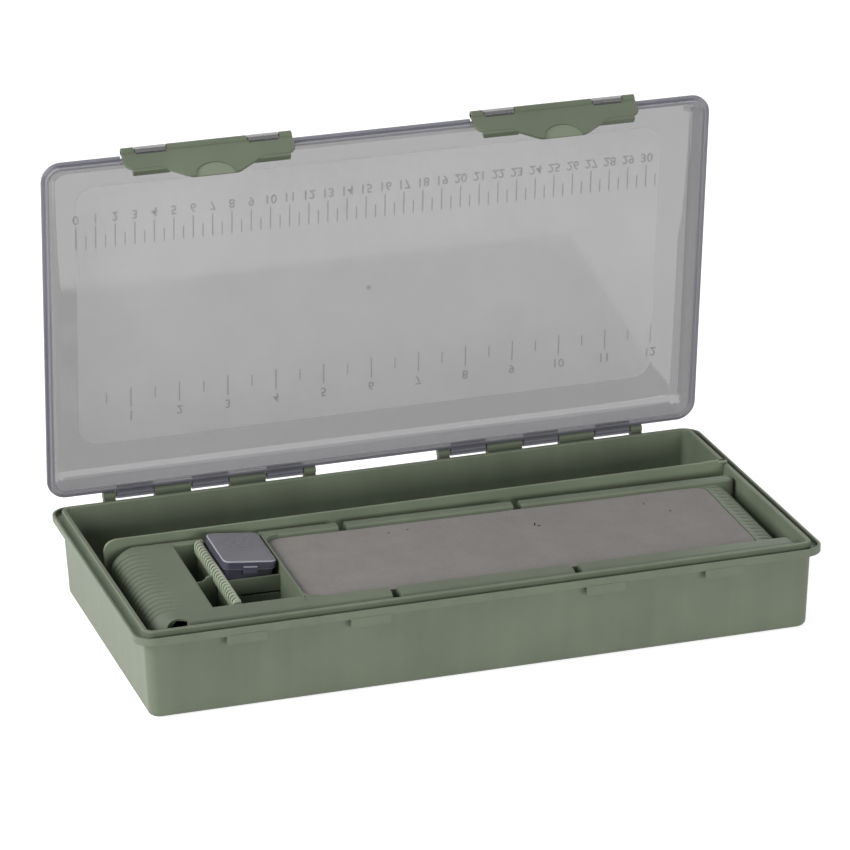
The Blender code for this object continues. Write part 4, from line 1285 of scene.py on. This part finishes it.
def tone_cap(made):
    """Painted highlight on the cover's rounded top rim, its foot rim and the tab's upper faces, and painted
    shade on its sides and the tab, which are darker than its flat top.
    """
    for face, place, normal in faces_for(made, box_frame, smoke_side_painted_shade, smoke_edge_painted_highlight):
        if abs(place.x) <= bit_lid_half[0] - bit_rim and abs(place.y) <= bit_lid_half[1] - bit_rim:
            continue
        if place.y < -bit_lid_half[1] - 2 * touch:
            face.material_index = 2 if normal.z > upright else 1
        elif abs(normal.z) <= upright:
            face.material_index = 2 if place.z < bit_lid_low + bit_foot_rim else 1
        elif 0 < normal.z < nearly_flat and place.z > bit_lid_low + bit_lid_height - bit_top_rim:
            face.material_index = 2


# The pieces
piece("base_tub", base_shapes(), green_base, "base", ["base_tray"])
tone_rim(piece("lid_clear", lid_shapes(), clear_lid, "lid", ["lid_shell"], lid_frame))
piece("lid_ruler", ruler_shapes(), mark, "lid", matrix=lid_frame, even=False)
piece("lid_frost", frost_shapes(), frost, "lid", matrix=lid_frame, even=False)
piece("lid_gate", gate_shapes(), mark, "lid", matrix=lid_frame, even=False)
for name, side in (("left", -1), ("right", 1)):
    latch_frame = lid_frame @ turned((side * latch_centre, latch_y, latch_z), latch_rest_deg, "X")
    tone_dish(piece(f"latch_plate_{name}", latch_shapes(), green_latch, f"latch_{name}", [f"latch_{name}"],
                    latch_frame), latch_frame)
piece("divider_plate", divider_shapes(), green_divider, "divider", ["long_divider"])
piece("tray_body", tray_shapes(), green_tray, "tray", ["rig_tray"], tray_frame)
tone_comb(piece("comb_teeth", comb_shapes(), comb_painted_highlight, "tray", ["thread_comb"], tray_frame))
foam = piece("foam_pad", foam_shapes(), grey_foam, "tray", ["foam_board"], tray_frame)
piece("foam_nicks", foam_nick_shapes(), foam_cut, "tray", matrix=tray_frame, even=False)
piece("bit_box_tub", bit_body_shapes(), smoke_box, "bit_box", ["bit_box_body"], box_frame)
tone_cap(piece("bit_box_cap", bit_lid_shapes(), smoke_cap, "bit_box_cover", ["bit_box_lid"], box_frame))
for name in ("hinge_pin_left", "hinge_pin_right", "latch_pin_left", "latch_pin_right"):
    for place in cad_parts[name].material_slots:
        place.material = green_pin


# Camera, light, world and floor
def make_camera():
    turn, rise, roll = (radians(value) for value in (camera_turn_deg, camera_rise_deg, camera_roll_deg))
    back = Vector((sin(turn) * cos(rise), -cos(turn) * cos(rise), sin(rise)))
    flat = Vector((cos(turn), sin(turn), 0))
    over = back.cross(flat)
    right = flat * cos(roll) + over * sin(roll)
    up = over * cos(roll) - flat * sin(roll)
    data = bpy.data.cameras.new("camera")
    data.sensor_width = camera_sensor
    data.lens = camera_sensor * camera_focal_share
    data.clip_end = 20
    made = shown("camera", data)
    made.matrix_world = Matrix.Translation(camera_place) @ Matrix((right, up, back)).transposed().to_4x4()
    scene.camera = made


def area_light(name, place, size, power):
    data = bpy.data.lights.new(name, "AREA")
    data.shape = "RECTANGLE"
    data.size, data.size_y = size
    data.energy = power
    made = shown(name, data)
    made.location = place
    made.rotation_mode = "QUATERNION"
    made.rotation_quaternion = (light_target - Vector(place)).to_track_quat("-Z", "Y")
    made.visible_glossy = False


def seen_directly(tree):
    """1 for camera, glossy and transmission rays, else 0."""
    rays = wire(tree, "ShaderNodeLightPath").outputs
    first = sum_up(tree, "MAXIMUM", rays["Is Camera Ray"], rays["Is Glossy Ray"])
    return sum_up(tree, "MAXIMUM", first, rays["Is Transmission Ray"])


def make_world():
    """White where it is seen, and dim as a light."""
    world = bpy.data.worlds.new("studio")
    scene.world = world
    world.use_nodes = True
    tree = world.node_tree
    level = wire(tree, "ShaderNodeMapRange", Value=seen_directly(tree), To_Min=world_light)
    dress(tree, tree.nodes["Background"], Color=(1, 1, 1, 1), Strength=level.outputs["Result"])


def make_floor():
    look, tree, shader = new_material("floor_pale")
    lift = sum_up(tree, "MULTIPLY", seen_directly(tree), floor_lift)
    dress(tree, shader, Base_Color=(0.66, 0.66, 0.66, 1), Roughness=0.9, Specular_IOR_Level=0.1,
          Emission_Color=(1, 1, 1, 1), Emission_Strength=lift)
    work = bmesh.new()
    bmesh.ops.create_grid(work, x_segments=1, y_segments=1, size=floor_half,
                          matrix=Matrix.Translation((0, 0, -floor_drop)))
    mesh = bpy.data.meshes.new("floor")
    work.to_mesh(mesh)
    work.free()
    mesh.materials.append(look)
    floor = shown("floor", mesh)


make_camera()
make_world()
make_floor()
area_light("key", (-1.75, -0.15, 0.95), (1.2, 1.2), 40)
area_light("front", (0.5, -2.4, 0.50), (1.5, 0.6), 30)
area_light("top", (0.1, 0.1, 2.0), (1.6, 1.6), 6)
area_light("back", (1.2, 2.1, 0.8), (1.6, 1.0), 10)
scene.view_settings.view_transform = "Standard"
